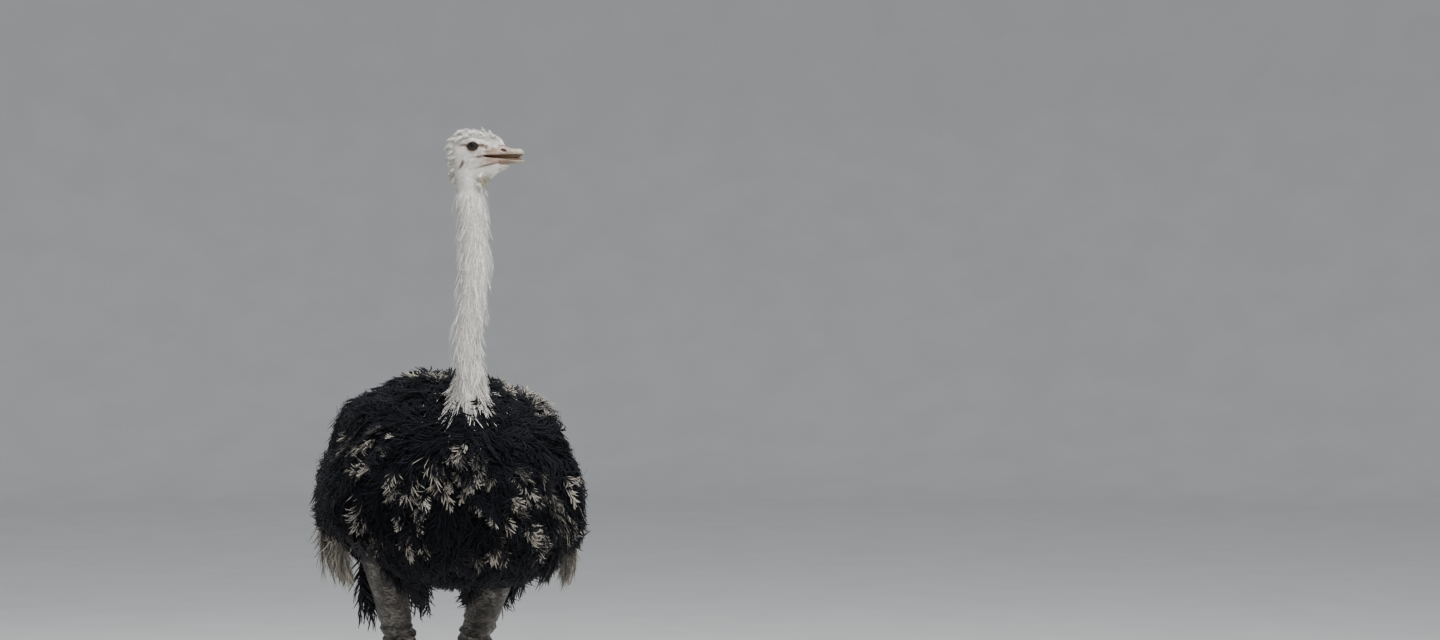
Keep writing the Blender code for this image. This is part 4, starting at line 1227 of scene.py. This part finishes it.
class OSTRICH_OT_skin(OstrichStep, Operator):
    """Builds the one skin: trunk, neck and head in one sweep, with the legs, feet and toes"""

    bl_idname, bl_label = "ostrich.skin", "Skin"

    def build(self, feathers, stage):
        skin, parts = bird_skin(), Parts()
        bare, brown, warm, mouth = face_marks(skin.points)
        parts.tube(skin.points, white=white_share(skin.points), bare=bare, brown=brown, warm=warm,
                   mouth=mouth)
        u, v = np.meshgrid(np.arange(72) / 72, LEG_PLACES)
        toe_u, toe_v = np.meshgrid(np.arange(36) / 36, np.linspace(0, 1, 60))
        plate = plate_share(u, v) * (1 - 0.8 * smoothstep(0.30, 0.05, plate_ridge(v)))
        toe_plate = smoothstep(0.2, 0.5, circle(toe_u)[0])
        for side, _ in SIDES:
            parts.tube(leg_points(u, v, side), leg=1, plate=plate)
            parts.tube(small_toe_points(toe_u, toe_v, side), leg=1, plate=toe_plate)
        limbs = [f"{node}_{name}" for node in ("drumstick", "tarsus", "big_toe", "small_toe")
                 for _, name in SIDES]
        settle(parts.object("skin", skin_finish(), SKIN_MARKS), "leg_skin", "head", "jaw", "trunk", *limbs,
               *(f"neck_{k}" for k in range(1, 6)))


# Lashes of the upper and the lower lid: count, the arc they stand on in degrees, length and lift.
LASHES = ((96, 12, 168, 0.0105, 0.12), (44, 200, 340, 0.0045, -0.3))
EYE_EDGE = 1.2  # radians from the middle of the pupil to where the eyeball's rim is darkest


class OSTRICH_OT_eyes(OstrichStep, Operator):
    """Builds the two eyeballs and the lashes over them"""

    bl_idname, bl_label = "ostrich.eyes", "Eyes"

    def build(self, feathers, stage):
        finish = eye_finish()
        for side, name in SIDES:
            middle = head_point(0, side * EYE_SIDE, 0)
            axis = HEAD_SIDE * side + HEAD_FORWARD * 0.10
            grid, ends, ring, spoke = sphere_grid(middle, axis, EYE_RADIUS - 0.0002, rows=40, columns=56,
                                                 bulge=0.03)
            parts = Parts()
            parts.tube(grid, ends, ring=ring / EYE_EDGE, spoke=spoke / (2 * np.pi))
            settle(parts.object(f"eyeball_{name}", finish, ("ring", "spoke")), "eye", f"eye_{name}")
        random, coat = np.random.default_rng(11), Coat()
        for side, _ in SIDES:
            for count, low, high, long, tilt in LASHES:
                turn = np.radians(random.uniform(low, high, count))
                forward = (EYE_OPENING[0] + 0.0004) * np.cos(turn)
                up = (EYE_OPENING[1] + 0.0004) * np.sin(turn) - EYE_DROP
                out = EYE_SIDE + np.sqrt(EYE_RADIUS**2 - forward**2 - up**2) - 0.0006
                root = head_point(forward, side * out, up)
                way = unit(HEAD_SIDE * side * 0.9 + UP * tilt
                           + HEAD_FORWARD * (forward / EYE_OPENING[0] * 0.8)[:, None]
                           + 0.12 * random.normal(size=(count, 3)))
                q = np.linspace(0, 1, 4)[None, :, None]
                reach = long * random.uniform(0.6, 1.1, (count, 1, 1))
                paths = root[:, None] + way[:, None] * reach * q - UP * reach * 0.45 * q**2 * np.sign(tilt)
                widths = np.tile(0.00038 * np.array([1, 0.9, 0.6, 0.3]), (count, 1))
                coat.add(paths, np.broadcast_to(UP, paths.shape), widths, thick=0.8,
                         roots=np.stack([turn / (2 * np.pi), 0 * turn + side], -1), pale=0.0, shade=0.3)
        finish = plumage_finish("lash", (0.012, 0.009, 0.008), (0.04, 0.03, 0.025), (0.3, 0.25, 0.2), 0.0)
        settle(coat.object("lashes", finish), "white_down")


# The tongue on the lower half of the bill, and the flesh under the upper one: the line that each
# lies on, which way it stands off it, its share of the gap, its length, half width and share of
# painted shade, which darkens the flesh under the upper bill.
MOUTH_FLESH = ((lower_mouth, 1, 0.48, 0.1165, 0.0205, 0.0), (upper_mouth, -1, 0.52, 0.1150, 0.0215, 0.25))


class OSTRICH_OT_bill(OstrichStep, Operator):
    """Builds both halves of the bill and the tongue between them"""

    bl_idname, bl_label = "ostrich.bill", "Bill"

    def build(self, feathers, stage):
        horn = horn_finish("bill_horn", (0.345, 0.234, 0.188), (0.17, 0.120, 0.083), (0.31, 0.275, 0.20),
                           (0.045, 0.025, 0.018))
        for upper, name in ((True, "upper"), (False, "lower")):
            grid, pit, share = bill_half(upper, rows=110, columns=84)
            parts = Parts()
            parts.tube(grid, along=share, pit=pit)
            settle(parts.object(f"bill_half_{name}", horn, ("along", "pit")), "bill_horn", f"bill_{name}")
        share, parts = np.linspace(0, 1, 40), Parts()
        for line, way, fill, long, wide, pit in MOUTH_FLESH:
            forward = 0.022 + long * share
            gap = upper_mouth(forward) - lower_mouth(forward)
            half = wide * np.sqrt(np.clip(1 - share**6, 0.003, 1)) * (1 - 0.30 * share)
            high = fill * gap * np.clip(1 - share**8, 0.003, 1) ** 0.7 + 0.0004
            middle = head_point(forward, 0 * share, line(forward) + way * 0.35 * high)
            parts.tube(ring_grid(middle, HEAD_SIDE, half, high, 28), along=share[:, None], pit=pit)
        flesh = horn_finish("tongue", (0.14, 0.055, 0.035), (0.20, 0.105, 0.055), (0.17, 0.105, 0.055),
                            (0.07, 0.035, 0.018), 2.0)
        settle(parts.object("tongue", flesh, ("along", "pit")), "bill_horn")


class OSTRICH_OT_claws(OstrichStep, Operator):
    """Builds the claw of each of the four toes"""

    bl_idname, bl_label = "ostrich.claws", "Claws"

    def build(self, feathers, stage):
        horn = horn_finish("claw_horn", (0.20, 0.155, 0.12), (0.17, 0.13, 0.10), (0.085, 0.065, 0.052),
                           (0.03, 0.02, 0.015))
        for side, name in SIDES:
            for size, splay in (("big", BIG_TOE_SPLAY), ("small", SMALL_TOE_SPLAY)):
                node = f"{size}_claw_{name}"
                low, high = (np.array(corner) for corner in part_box(node))
                ahead = toe_way(splay)[0] * (side, 1, 1)
                long = (high[1] - low[1]) / -ahead[1] * 0.99
                girth = (high[2] - low[2]) / 1.9
                root = np.array([(low[0] + high[0] - ahead[0] * long) / 2, high[1], low[2] + 0.8 * girth])
                grid, share = claw_grid(root, ahead, long, girth, rows=26, columns=20)
                parts = Parts()
                parts.tube(grid, along=share, pit=0)
                settle(parts.object(f"{size}_nail_{name}", horn, ("along", "pit")), "claw_horn", node)


# ------------------------------------------------------------------ steps: down and plumage

NECK_LOCKS, NECK_STRANDS, HEAD_LOCKS = 14500, 800, 17800
WISPS, WISP_LOCKS = 130, 15
DOWN_START = NECK_START - 4.5  # how far down the sweep any down stands


class OSTRICH_OT_down(OstrichStep, Operator):
    """Grows the down of the neck and the bristly down of the head"""

    bl_idname, bl_label = "ostrich.down", "Neck and head down"

    def build(self, feathers, stage):
        skin, finish = bird_skin(), down_finish()
        points = skin.points
        v_grid = np.broadcast_to(SKIN_PLACES[:, None], points.shape[:2])
        forward, side, up = head_frame(points)
        bare, brown, _, mouth = face_marks(points)
        open_eye = (eye_round(forward, up) < 1.28) & (np.abs(side) > 0.015)
        on_head = smoothstep(HEAD_START - 0.4, HEAD_START + 1.2, v_grid)
        on_neck = (1 - on_head) * (v_grid > DOWN_START)
        random = np.random.default_rng(21)

        # The neck's down lies close, and is longest where it runs out over the black.
        weight = on_neck * smoothstep(1.262, 1.30, points[..., 2]) * (0.25 + 0.75 * white_share(points))
        u, v = skin.scatter(NECK_LOCKS, weight, random)
        root, = skin.look_up(u, v, points)
        low = smoothstep(1.46, 1.33, root[:, 2])
        length = feathers.down_length * random.uniform(0.6, 1.3, NECK_LOCKS) * (1 + 1.7 * low)
        rise = np.radians(np.abs(random.normal(15, 9, NECK_LOCKS)) * (1 - 0.4 * low) + 3)
        half_width = 0.00075 * (1 + 0.5 * low[:, None])
        locks = tufts(skin, random, u, v, length, rise, half_width, segments=2, turn=0.22)
        edge = white_share(root + UP * (random.normal(0, 0.012, NECK_LOCKS) - 0.006)[:, None])
        self.place("neck_down", finish, locks, u, v, edge)

        # Long white strands run from the neck's root out over the black.
        at_edge = on_neck * hump(white_share(points), 0.6, 0.35) * (points[..., 2] > 1.27)
        u, v = skin.scatter(NECK_STRANDS, at_edge, random)
        length = random.uniform(0.030, 0.062, NECK_STRANDS)
        rise = np.radians(random.uniform(16, 30, NECK_STRANDS))
        locks = tufts(skin, random, u, v, length, rise, 0.0011, segments=4, turn=0.16, bend=0.2)
        self.place("neck_strands", finish, locks, u, v)

        # The head's is finest on the cheeks, and stands up on the crown, the nape and the throat.
        keep = on_head * (1 - 0.96 * bare) * (1 - mouth) * (1 - 0.5 * brown) * ~open_eye
        u, v = skin.scatter(HEAD_LOCKS, keep * (v_grid < SWEEP_END - 0.25), random)
        root, = skin.look_up(u, v, points)
        forward, side, up = head_frame(root)
        behind, ahead = np.maximum(-forward, 0), np.maximum(forward - 0.03, 0)
        crown = smoothstep(0.014, 0.032, up + 0.25 * behind + 0.22 * ahead)
        nape = smoothstep(-0.034, -0.054, forward)
        chin = smoothstep(-0.062, -0.085, up + 0.25 * np.maximum(forward - 0.05, 0))
        chin = chin * smoothstep(0.0, 0.02, forward)
        chin = np.maximum(chin, 0.8 * smoothstep(0.070, 0.085, forward) * smoothstep(-0.050, -0.054, up))
        loose = np.clip(crown + nape + chin, 0, 1)
        cheek = smoothstep(0.030, 0.015, np.hypot(forward, up))
        clump = 0.5 + 0.5 * noise(root, 110.0, 45)
        bristle = loose * (random.random(HEAD_LOCKS) < 0.30)
        length = 0.0062 * (1 + 0.9 * loose * clump + 1.5 * bristle * clump - 0.45 * cheek)
        length = length * random.uniform(0.6, 1.4, HEAD_LOCKS)
        length *= 1 - 0.4 * smoothstep(0.03, 0.07, forward) * (1 - chin) * smoothstep(0.01, -0.01, up)
        rise = np.abs(random.normal(12, 7, HEAD_LOCKS))
        rise = rise + (26 * loose + 30 * bristle) * clump * random.uniform(0.3, 1.2, HEAD_LOCKS)
        half_width = 0.00044 * (1 + 0.3 * loose + 0.7 * bristle)[:, None]
        locks = tufts(skin, random, u, v, length, np.radians(rise), half_width, segments=2)
        self.place("head_down", finish, locks, u, v, 1.0, *face_marks(root)[1:3])

        # Wisps of it stand out in small clumps from the crown, the nape and the throat.
        forward, side, up = head_frame(points)
        high = smoothstep(0.018, 0.032, up + 0.25 * np.maximum(-forward, 0))
        high = high + smoothstep(-0.040, -0.054, forward)
        under = smoothstep(-0.066, -0.085, up) * smoothstep(0.0, 0.02, forward)
        u, v = skin.scatter(WISPS, on_head * np.clip(high + 0.3 * under, 0, 1), random)
        count = WISPS * WISP_LOCKS
        u = (np.repeat(u, WISP_LOCKS) + random.normal(0, 0.0040, count)) % 1
        v = np.repeat(v, WISP_LOCKS) + random.normal(0, 0.05, count)
        v = np.clip(v, HEAD_START, SWEEP_END - 0.3)
        length = np.repeat(random.uniform(0.014, 0.030, WISPS), WISP_LOCKS) * random.uniform(0.7, 1.1, count)
        rise = np.repeat(random.uniform(22, 60, WISPS), WISP_LOCKS) + random.normal(0, 4, count)
        locks = tufts(skin, random, u, v, length, np.radians(rise), 0.0011, segments=3, turn=0.12, bend=0.3)
        root, = skin.look_up(u, v, points)
        self.place("head_wisps", finish, locks, u, v, 1.0, *face_marks(root)[1:3])

    def place(self, name, finish, locks, u, v, white=1.0, brown=0.0, warm=0.0):
        """Makes a piece of the locks, with a share of white, brown and yellow for each."""
        paths, ups, widths = locks
        coat = Coat()
        coat.add(paths, ups, widths, thick=0.5, roots=np.stack([u, v / SWEEP_END], axis=-1), pale=white,
                 shade=brown)
        piece = coat.object(name, finish)
        per_lock = 3 * (paths.shape[1] - 1) + 1
        set_attribute(piece, "warm", np.repeat(np.broadcast_to(warm, len(paths)), per_lock))
        settle(piece, "white_down")


BODY_BARBS, FLECK_BARBS = 16, 28  # locks of a plume


class OSTRICH_OT_plumage(OstrichStep, Operator):
    """Lays the black plumes of the breast, back, rump, belly and wings"""

    bl_idname, bl_label = "ostrich.plumage", "Black plumage"

    def build(self, feathers, stage):
        skin = bird_skin()
        finish = plumage_finish("black_plumage", tuple(feathers.black), tuple(feathers.sheen),
                                tuple(feathers.fleck))
        points, normals = skin.points, skin.normals
        x, y, z = points[..., 0], points[..., 1] - BODY_Y, points[..., 2]
        v_grid = np.broadcast_to(SKIN_PLACES[:, None], points.shape[:2])
        body = (v_grid < NECK_START + 0.6) * (1 - 0.97 * white_share(points + UP * 0.004))
        body = body * (1 + 3.0 * smoothstep(0.15, 0.09, np.hypot(x, y + 0.39)) * smoothstep(1.20, 1.26, z))
        wing = wing_mask(points)
        front = smoothstep(-0.08, -0.16, y)
        top = smoothstep(0.35, 0.65, normals[..., 2])
        left = x > 0
        breast, rest = body * front * (1 - 0.25 * wing), body * (1 - front) * (1 - top)
        lie = body_lie(points)
        lie = unit(lie - normals * (lie * normals).sum(-1, keepdims=True))
        patches = body * fleck_patches(points + 0.043 * lie)
        # Name, where on the skin, count, how they lie, length as a share of the setting, and seed.
        regions = (
            ("breast_left", breast * left, 670, body_lie, 1.0, 31),
            ("breast_right", breast * ~left, 670, body_lie, 1.0, 32),
            ("back", body * (1 - front) * top, 480, body_lie, 1.1, 33),
            ("rump_and_belly", rest * (1 - wing), 510, body_lie, 1.15, 34),
            ("wing_coverts_left", body * wing * left, 470, wing_lie, 1.0, 35),
            ("wing_coverts_right", body * wing * ~left, 470, wing_lie, 1.0, 36),
            ("flecks", patches, 200, body_lie, 0.50, 38))
        for name, weight, count, field, stretch, seed in regions:
            folded, fleck = name.startswith("wing"), name == "flecks"
            random = np.random.default_rng(seed)
            u, v = skin.scatter(count, weight, random)
            root, = skin.look_up(u, v, points)
            rise = smoothstep(1.28, 1.42, root[:, 2]) * smoothstep(-0.22, -0.34, root[:, 1] - BODY_Y)
            length = feathers.wing_length if folded else feathers.plume_length * (1 - 0.45 * rise)
            spread = 0.4 if fleck else 0.2
            length = stretch * length * random.uniform(1 - spread, 1 + spread, count)
            stops = skin.walk(u, v, field, length, QUILL_STEPS, random.normal(0, 0.30, count), 0.4)
            depth = feathers.depth * (1 - 0.6 * rise) * (0.6 if folded else 0.85)
            depth = depth * random.uniform(0.55, 1.25, count) + (0.009 if fleck else 0)
            paths, ups, widths, plume = plumes(
                random, stops, length, FLECK_BARBS if fleck else BODY_BARBS, depth, feathers.barb_width,
                segments=3, openness=(6, 32), curl=42, lift=0.004, droop=0.0, reach_share=0.60, roll=0.2)
            # Some plumes are pale, from part of the way along their barbs to the tips.
            chance = fleck_chance(stops[0][4]) + fleck
            pale = (random.random(count) < chance)[plume] & (random.random(len(plume)) < 0.85)
            begin = (random.uniform(0.1, 0.5, count)[plume] + random.uniform(-0.1, 0.1, len(plume)))[:, None]
            ring = ring_places(paths.shape[1] - 1)
            widths = widths * np.where(pale, 0.8, 1.0)[:, None]
            faint = (0.25 + 0.75 * random.random(count) ** 1.5)[plume] * random.uniform(0.7, 1.0, len(plume))
            share = (pale * faint)[:, None] * smoothstep(begin, begin + 0.2, ring[None])
            # Each plume and lock has a random tone; along the lock it rises from a quarter at the root to
            # full at the tip, painted shade at the roots and painted light on the tips.
            tone = random.uniform(0.1, 0.9, count)[plume] * 0.6 + random.uniform(0, 0.35, len(plume))
            shade = tone[:, None] * np.interp(ring, (0, 0.5, 1), (0.25, 0.8, 1.0))
            coat = Coat()
            coat.add(paths, ups, widths, thick=0.28, roots=np.stack([u, v / SWEEP_END], -1)[plume],
                     pale=share, shade=shade, roll=random.normal(0, 0.35, len(plume)))
            nodes = [name.replace("coverts_", "")] if folded else []
            settle(coat.object(name, finish), "black_plumage", *nodes)


# Roots and tips of hanging plumes, (x, y, z) each: the pale ones under the left and the right wing,
# the pale tail, the black ones along each wing's lower edge, and those round each thigh.
WING_PLUMES = {
    "left": (
        ((0.335, -0.02, 0.965), (0.288, 0.00, 0.812)), ((0.338, 0.10, 0.985), (0.303, 0.13, 0.808)),
        ((0.318, 0.24, 1.020), (0.275, 0.29, 0.815)), ((0.275, 0.34, 1.060), (0.235, 0.41, 0.850))),
    "right": (
        ((-0.300, -0.10, 0.985), (-0.315, -0.08, 0.850)), ((-0.320, 0.00, 1.000), (-0.312, 0.05, 0.815)),
        ((-0.330, 0.12, 1.010), (-0.320, 0.16, 0.805)), ((-0.295, 0.27, 1.050), (-0.255, 0.34, 0.830)))}
TAIL_PLUMES = (
    ((-0.150, 0.36, 1.220), (-0.250, 0.57, 1.025)), ((-0.070, 0.38, 1.250), (-0.110, 0.66, 1.000)),
    ((0.070, 0.38, 1.250), (0.110, 0.66, 1.000)), ((0.150, 0.36, 1.220), (0.250, 0.57, 1.025)))
WING_FRINGE = {
    "left": (
        ((0.245, -0.30, 0.990), (0.178, -0.28, 0.850)), ((0.275, -0.18, 0.985), (0.195, -0.15, 0.822)),
        ((0.295, -0.02, 0.990), (0.212, 0.02, 0.822)), ((0.306, 0.14, 1.010), (0.233, 0.19, 0.845)),
        ((0.285, 0.27, 1.050), (0.243, 0.34, 0.890)), ((0.250, 0.34, 1.080), (0.220, 0.41, 0.930))),
    "right": (
        ((-0.290, -0.30, 0.990), (-0.275, -0.28, 0.905)), ((-0.318, -0.18, 1.010), (-0.313, -0.15, 0.930)),
        ((-0.338, -0.02, 1.040), (-0.338, 0.02, 0.955)), ((-0.336, 0.14, 1.060), (-0.336, 0.19, 0.970)),
        ((-0.302, 0.27, 1.090), (-0.294, 0.34, 0.975)), ((-0.262, 0.34, 1.100), (-0.250, 0.41, 0.985)))}
THIGH_PLUMES = {
    "left": (
        ((0.045, -0.06, 0.890), (0.055, -0.03, 0.765)), ((0.055, 0.06, 0.885), (0.060, 0.09, 0.745)),
        ((0.110, 0.14, 0.905), (0.100, 0.17, 0.705)), ((0.175, 0.15, 0.915), (0.165, 0.18, 0.705)),
        ((0.225, 0.07, 0.925), (0.200, 0.10, 0.755)), ((0.225, -0.06, 0.935), (0.190, -0.05, 0.790))),
    "right": (
        ((-0.185, -0.105, 0.935), (-0.150, -0.090, 0.810)),
        ((-0.130, -0.105, 0.920), (-0.105, -0.075, 0.765)),
        ((-0.070, -0.04, 0.890), (-0.080, 0.00, 0.740)), ((-0.120, 0.14, 0.905), (-0.115, 0.17, 0.700)),
        ((-0.185, 0.15, 0.915), (-0.185, 0.18, 0.690)), ((-0.235, 0.09, 0.925), (-0.225, 0.11, 0.700)))}
TAIL_DROP = ((0, 0.01, 0.085), (0, 0.025, 0.065))  # how far root and tip may hang below their lines
PALE_BARBS, BLACK_BARBS = (34, 0.0017), (28, 0.0022)  # locks of a plume, and half the width of each


class OSTRICH_OT_hanging_plumes(OstrichStep, Operator):
    """Hangs the pale plumes under the wings and in the tail, and the black ones by wings and thighs"""

    bl_idname, bl_label = "ostrich.hanging_plumes", "Wing, thigh and tail plumes"

    def build(self, feathers, stage):
        finish = plumage_finish("pale_plumage", (0.20, 0.18, 0.15), (0.40, 0.36, 0.30),
                                tuple(feathers.quill), 0.3, (1, 0.97, 0.9))
        black = bpy.data.materials["black_plumage"]
        for side, name in SIDES:
            self.fan(f"wing_quills_{name}", finish, WING_PLUMES[name], 50, 41 + side, (side, 0.1, 0.2),
                     0.016, f"wing_plumes_{name}")
            self.fan(f"wing_fringe_{name}", black, WING_FRINGE[name], 44, 51 + side, (side, -0.1, 0.2), 0.014)
            self.fan(f"thigh_plumes_{name}", black, THIGH_PLUMES[name], 50, 61 + side,
                     (side * 0.3, 0.2, 0.2), 0.006)
        self.fan("tail_quills", finish, TAIL_PLUMES, 48, 44, (0, 0.35, 1.0), 0.030, "tail")

    def fan(self, name, finish, rows, count, seed, outward, bow, node=""):
        """count plumes from a line of roots to a line of tips, each quill bowed outward by bow. Those
        that stand for a solid are pale, and the right wing's are the darkest of them, as painted
        shade. Plumes that start with the wing follow the belly's lean, and the tail's hang in several
        layers."""
        tail = name == "tail_quills"
        random = np.random.default_rng(seed)
        at = (np.arange(count) + random.random(count)) / count * (len(rows) - 1)
        ends = spline(rows, at) + random.normal(0, 0.010, (count, 2, 3))
        ends -= tail * random.uniform(-0.05, 1, (count, 1, 1)) * TAIL_DROP
        ends[:, 1] += (ends[:, 0] - ends[:, 1]) * random.uniform(-0.02, 0.28, (count, 1))
        ends[..., 1] += BODY_Y
        t = np.linspace(0, 1, QUILL_STEPS + 1)[:, None, None]
        outward = unit(outward + random.normal(0, 0.25, (count, 3)))
        layer = random.uniform(-1, 1, (count, 1))
        points = ends[:, 0] * (1 - t) + ends[:, 1] * t + outward * (4 * t * (1 - t) * bow + 0.006 * layer)
        if name.startswith("wing"):
            points[..., 0] += 0.18 * np.maximum(LEAN_HEIGHT - points[..., 2], 0)
        way = unit(np.gradient(points, axis=0))
        across = unit(np.cross(outward, way))
        length = np.linalg.norm(ends[:, 1] - ends[:, 0], axis=-1)
        barbs, half_width = PALE_BARBS if node else BLACK_BARBS
        paths, ups, widths, plume = plumes(
            random, (points, np.cross(way, across), across), length, barbs, 0.002, half_width,
            segments=4, openness=(8, 34), curl=40, lift=0.006, droop=1.2, reach_share=0.46,
            roll=0.1 if tail else 0.3)
        tone = random.uniform(0, 1, count)[plume, None] * 0.6 + random.uniform(0, 0.4, (len(plume), 1))
        # Painted shade: the right wing's pale plumes are much less white than the left's.
        least_white_shaded_right = 0.05 if name.endswith("right") else 0.55
        white = np.clip(least_white_shaded_right + 0.6 * tone, 0, 1) if node else 0 * tone
        root = np.stack([at[plume] / len(rows), 0.5 * plume / count + 0.2], axis=-1)
        root = root + random.uniform(0, 0.1, root.shape)
        coat = Coat()
        coat.add(paths, ups, widths, thick=0.35, roots=root, pale=white, shade=tone,
                 roll=random.normal(0, 0.4, len(plume)))
        slot, nodes = ("pale_plumage", [node]) if node else ("black_plumage", [])
        settle(coat.object(name, finish), slot, *nodes)


# ------------------------------------------------------------------ stage and panel

FLOOR_RINGS, FLOOR_COLUMNS, FLOOR_TOP = 60, 96, -0.0005
AIM_ASIDE, AIM_DOWN = 4.51, 0.216  # degrees from the trunk's middle, at eye level, to the camera's aim
# Lights: name, place, size across and power.
LIGHTS = (("sky", (1.0, -1.5, 6.5), 7.0, 900), ("window", (5.5, -6.5, 4.4), 5.0, 260),
          ("back", (-3.5, 5.5, 4.0), 4.0, 90))
LIT = (0, BODY_Y, 1.2)  # where they point
SKY_COLOUR, SKY_STRENGTH = (0.80, 0.84, 0.90, 1), 0.62


class OSTRICH_OT_stage(OstrichStep, Operator):
    """Makes the pale floor that curves up all round, the soft lights and the camera"""

    bl_idname, bl_label = "ostrich.stage", "Stage"

    def build(self, feathers, stage):
        scene = bpy.context.scene
        share, turns = np.meshgrid(np.linspace(0, 1, FLOOR_RINGS), np.arange(FLOOR_COLUMNS) / FLOOR_COLUMNS,
                                   indexing="ij")
        cos, sin = circle(turns)
        radius = np.interp(share, (0, 0.4, 0.75, 1), (0.5, 19, 24, 25))
        height = 9.0 * smoothstep(0.4, 1.25, share) + FLOOR_TOP
        grid = np.stack([radius * cos, radius * sin, height], -1)
        quads, fans = tube_faces(FLOOR_RINGS, FLOOR_COLUMNS, 0)
        points = np.concatenate([grid.reshape(-1, 3), [(0, 0, FLOOR_TOP)]])
        new_object("floor", points, [quads[:, ::-1], fans[:FLOOR_COLUMNS, ::-1]], floor_finish())

        camera = bpy.data.objects.new("camera", bpy.data.cameras.new("camera"))
        camera.data.lens, camera.data.sensor_width, camera.data.clip_end = stage.lens, 36.0, 200
        back = np.array([math.sin(stage.bearing), -math.cos(stage.bearing), 0.0])
        camera.location = stage.distance * back + (0.0, BODY_Y, stage.eye_level)
        camera.rotation_euler = (math.radians(90 - AIM_DOWN), 0, stage.bearing - math.radians(AIM_ASIDE))
        scene.collection.objects.link(camera)
        scene.camera = camera

        for name, place, size, power in LIGHTS:
            lamp = bpy.data.lights.new(name, "AREA")
            lamp.shape, lamp.size, lamp.energy = "DISK", size, power
            lit = bpy.data.objects.new(name, lamp)
            lit.location = place
            away = np.array(place) - LIT
            lit.rotation_euler = (math.acos(away[2] / np.linalg.norm(away)), 0,
                                  math.atan2(away[1], away[0]) + math.pi / 2)
            scene.collection.objects.link(lit)
        scene.world = bpy.data.worlds.new("soft_light")
        scene.world.use_nodes = True
        sky = scene.world.node_tree.nodes["Background"]
        sky.inputs[0].default_value, sky.inputs[1].default_value = SKY_COLOUR, SKY_STRENGTH


STEPS = (OSTRICH_OT_skin, OSTRICH_OT_eyes, OSTRICH_OT_bill, OSTRICH_OT_claws, OSTRICH_OT_down,
         OSTRICH_OT_plumage, OSTRICH_OT_hanging_plumes, OSTRICH_OT_stage)


class OSTRICH_PT_panel(Panel):
    """Lists the steps and their sizes and colours"""

    bl_label, bl_idname = "Ostrich", "OSTRICH_PT_panel"
    bl_space_type, bl_region_type, bl_category = "VIEW_3D", "UI", "Ostrich"

    def draw(self, context):
        for group in (context.scene.ostrich_feathers, context.scene.ostrich_stage):
            for name in group.__annotations__:
                self.layout.prop(group, name)
        for step in STEPS:
            self.layout.operator(step.bl_idname)


CLASSES = (OstrichFeathers, OstrichStage, *STEPS, OSTRICH_PT_panel)


def register():
    for kind in CLASSES:
        bpy.utils.register_class(kind)
    bpy.types.Scene.ostrich_feathers = PointerProperty(type=OstrichFeathers)
    bpy.types.Scene.ostrich_stage = PointerProperty(type=OstrichStage)


def unregister():
    del bpy.types.Scene.ostrich_stage, bpy.types.Scene.ostrich_feathers
    for kind in reversed(CLASSES):
        bpy.utils.unregister_class(kind)


def main():
    register()
    for step in STEPS:
        group, name = step.bl_idname.split(".")
        getattr(getattr(bpy.ops, group), name)()


if __name__ == "__main__":
    main()
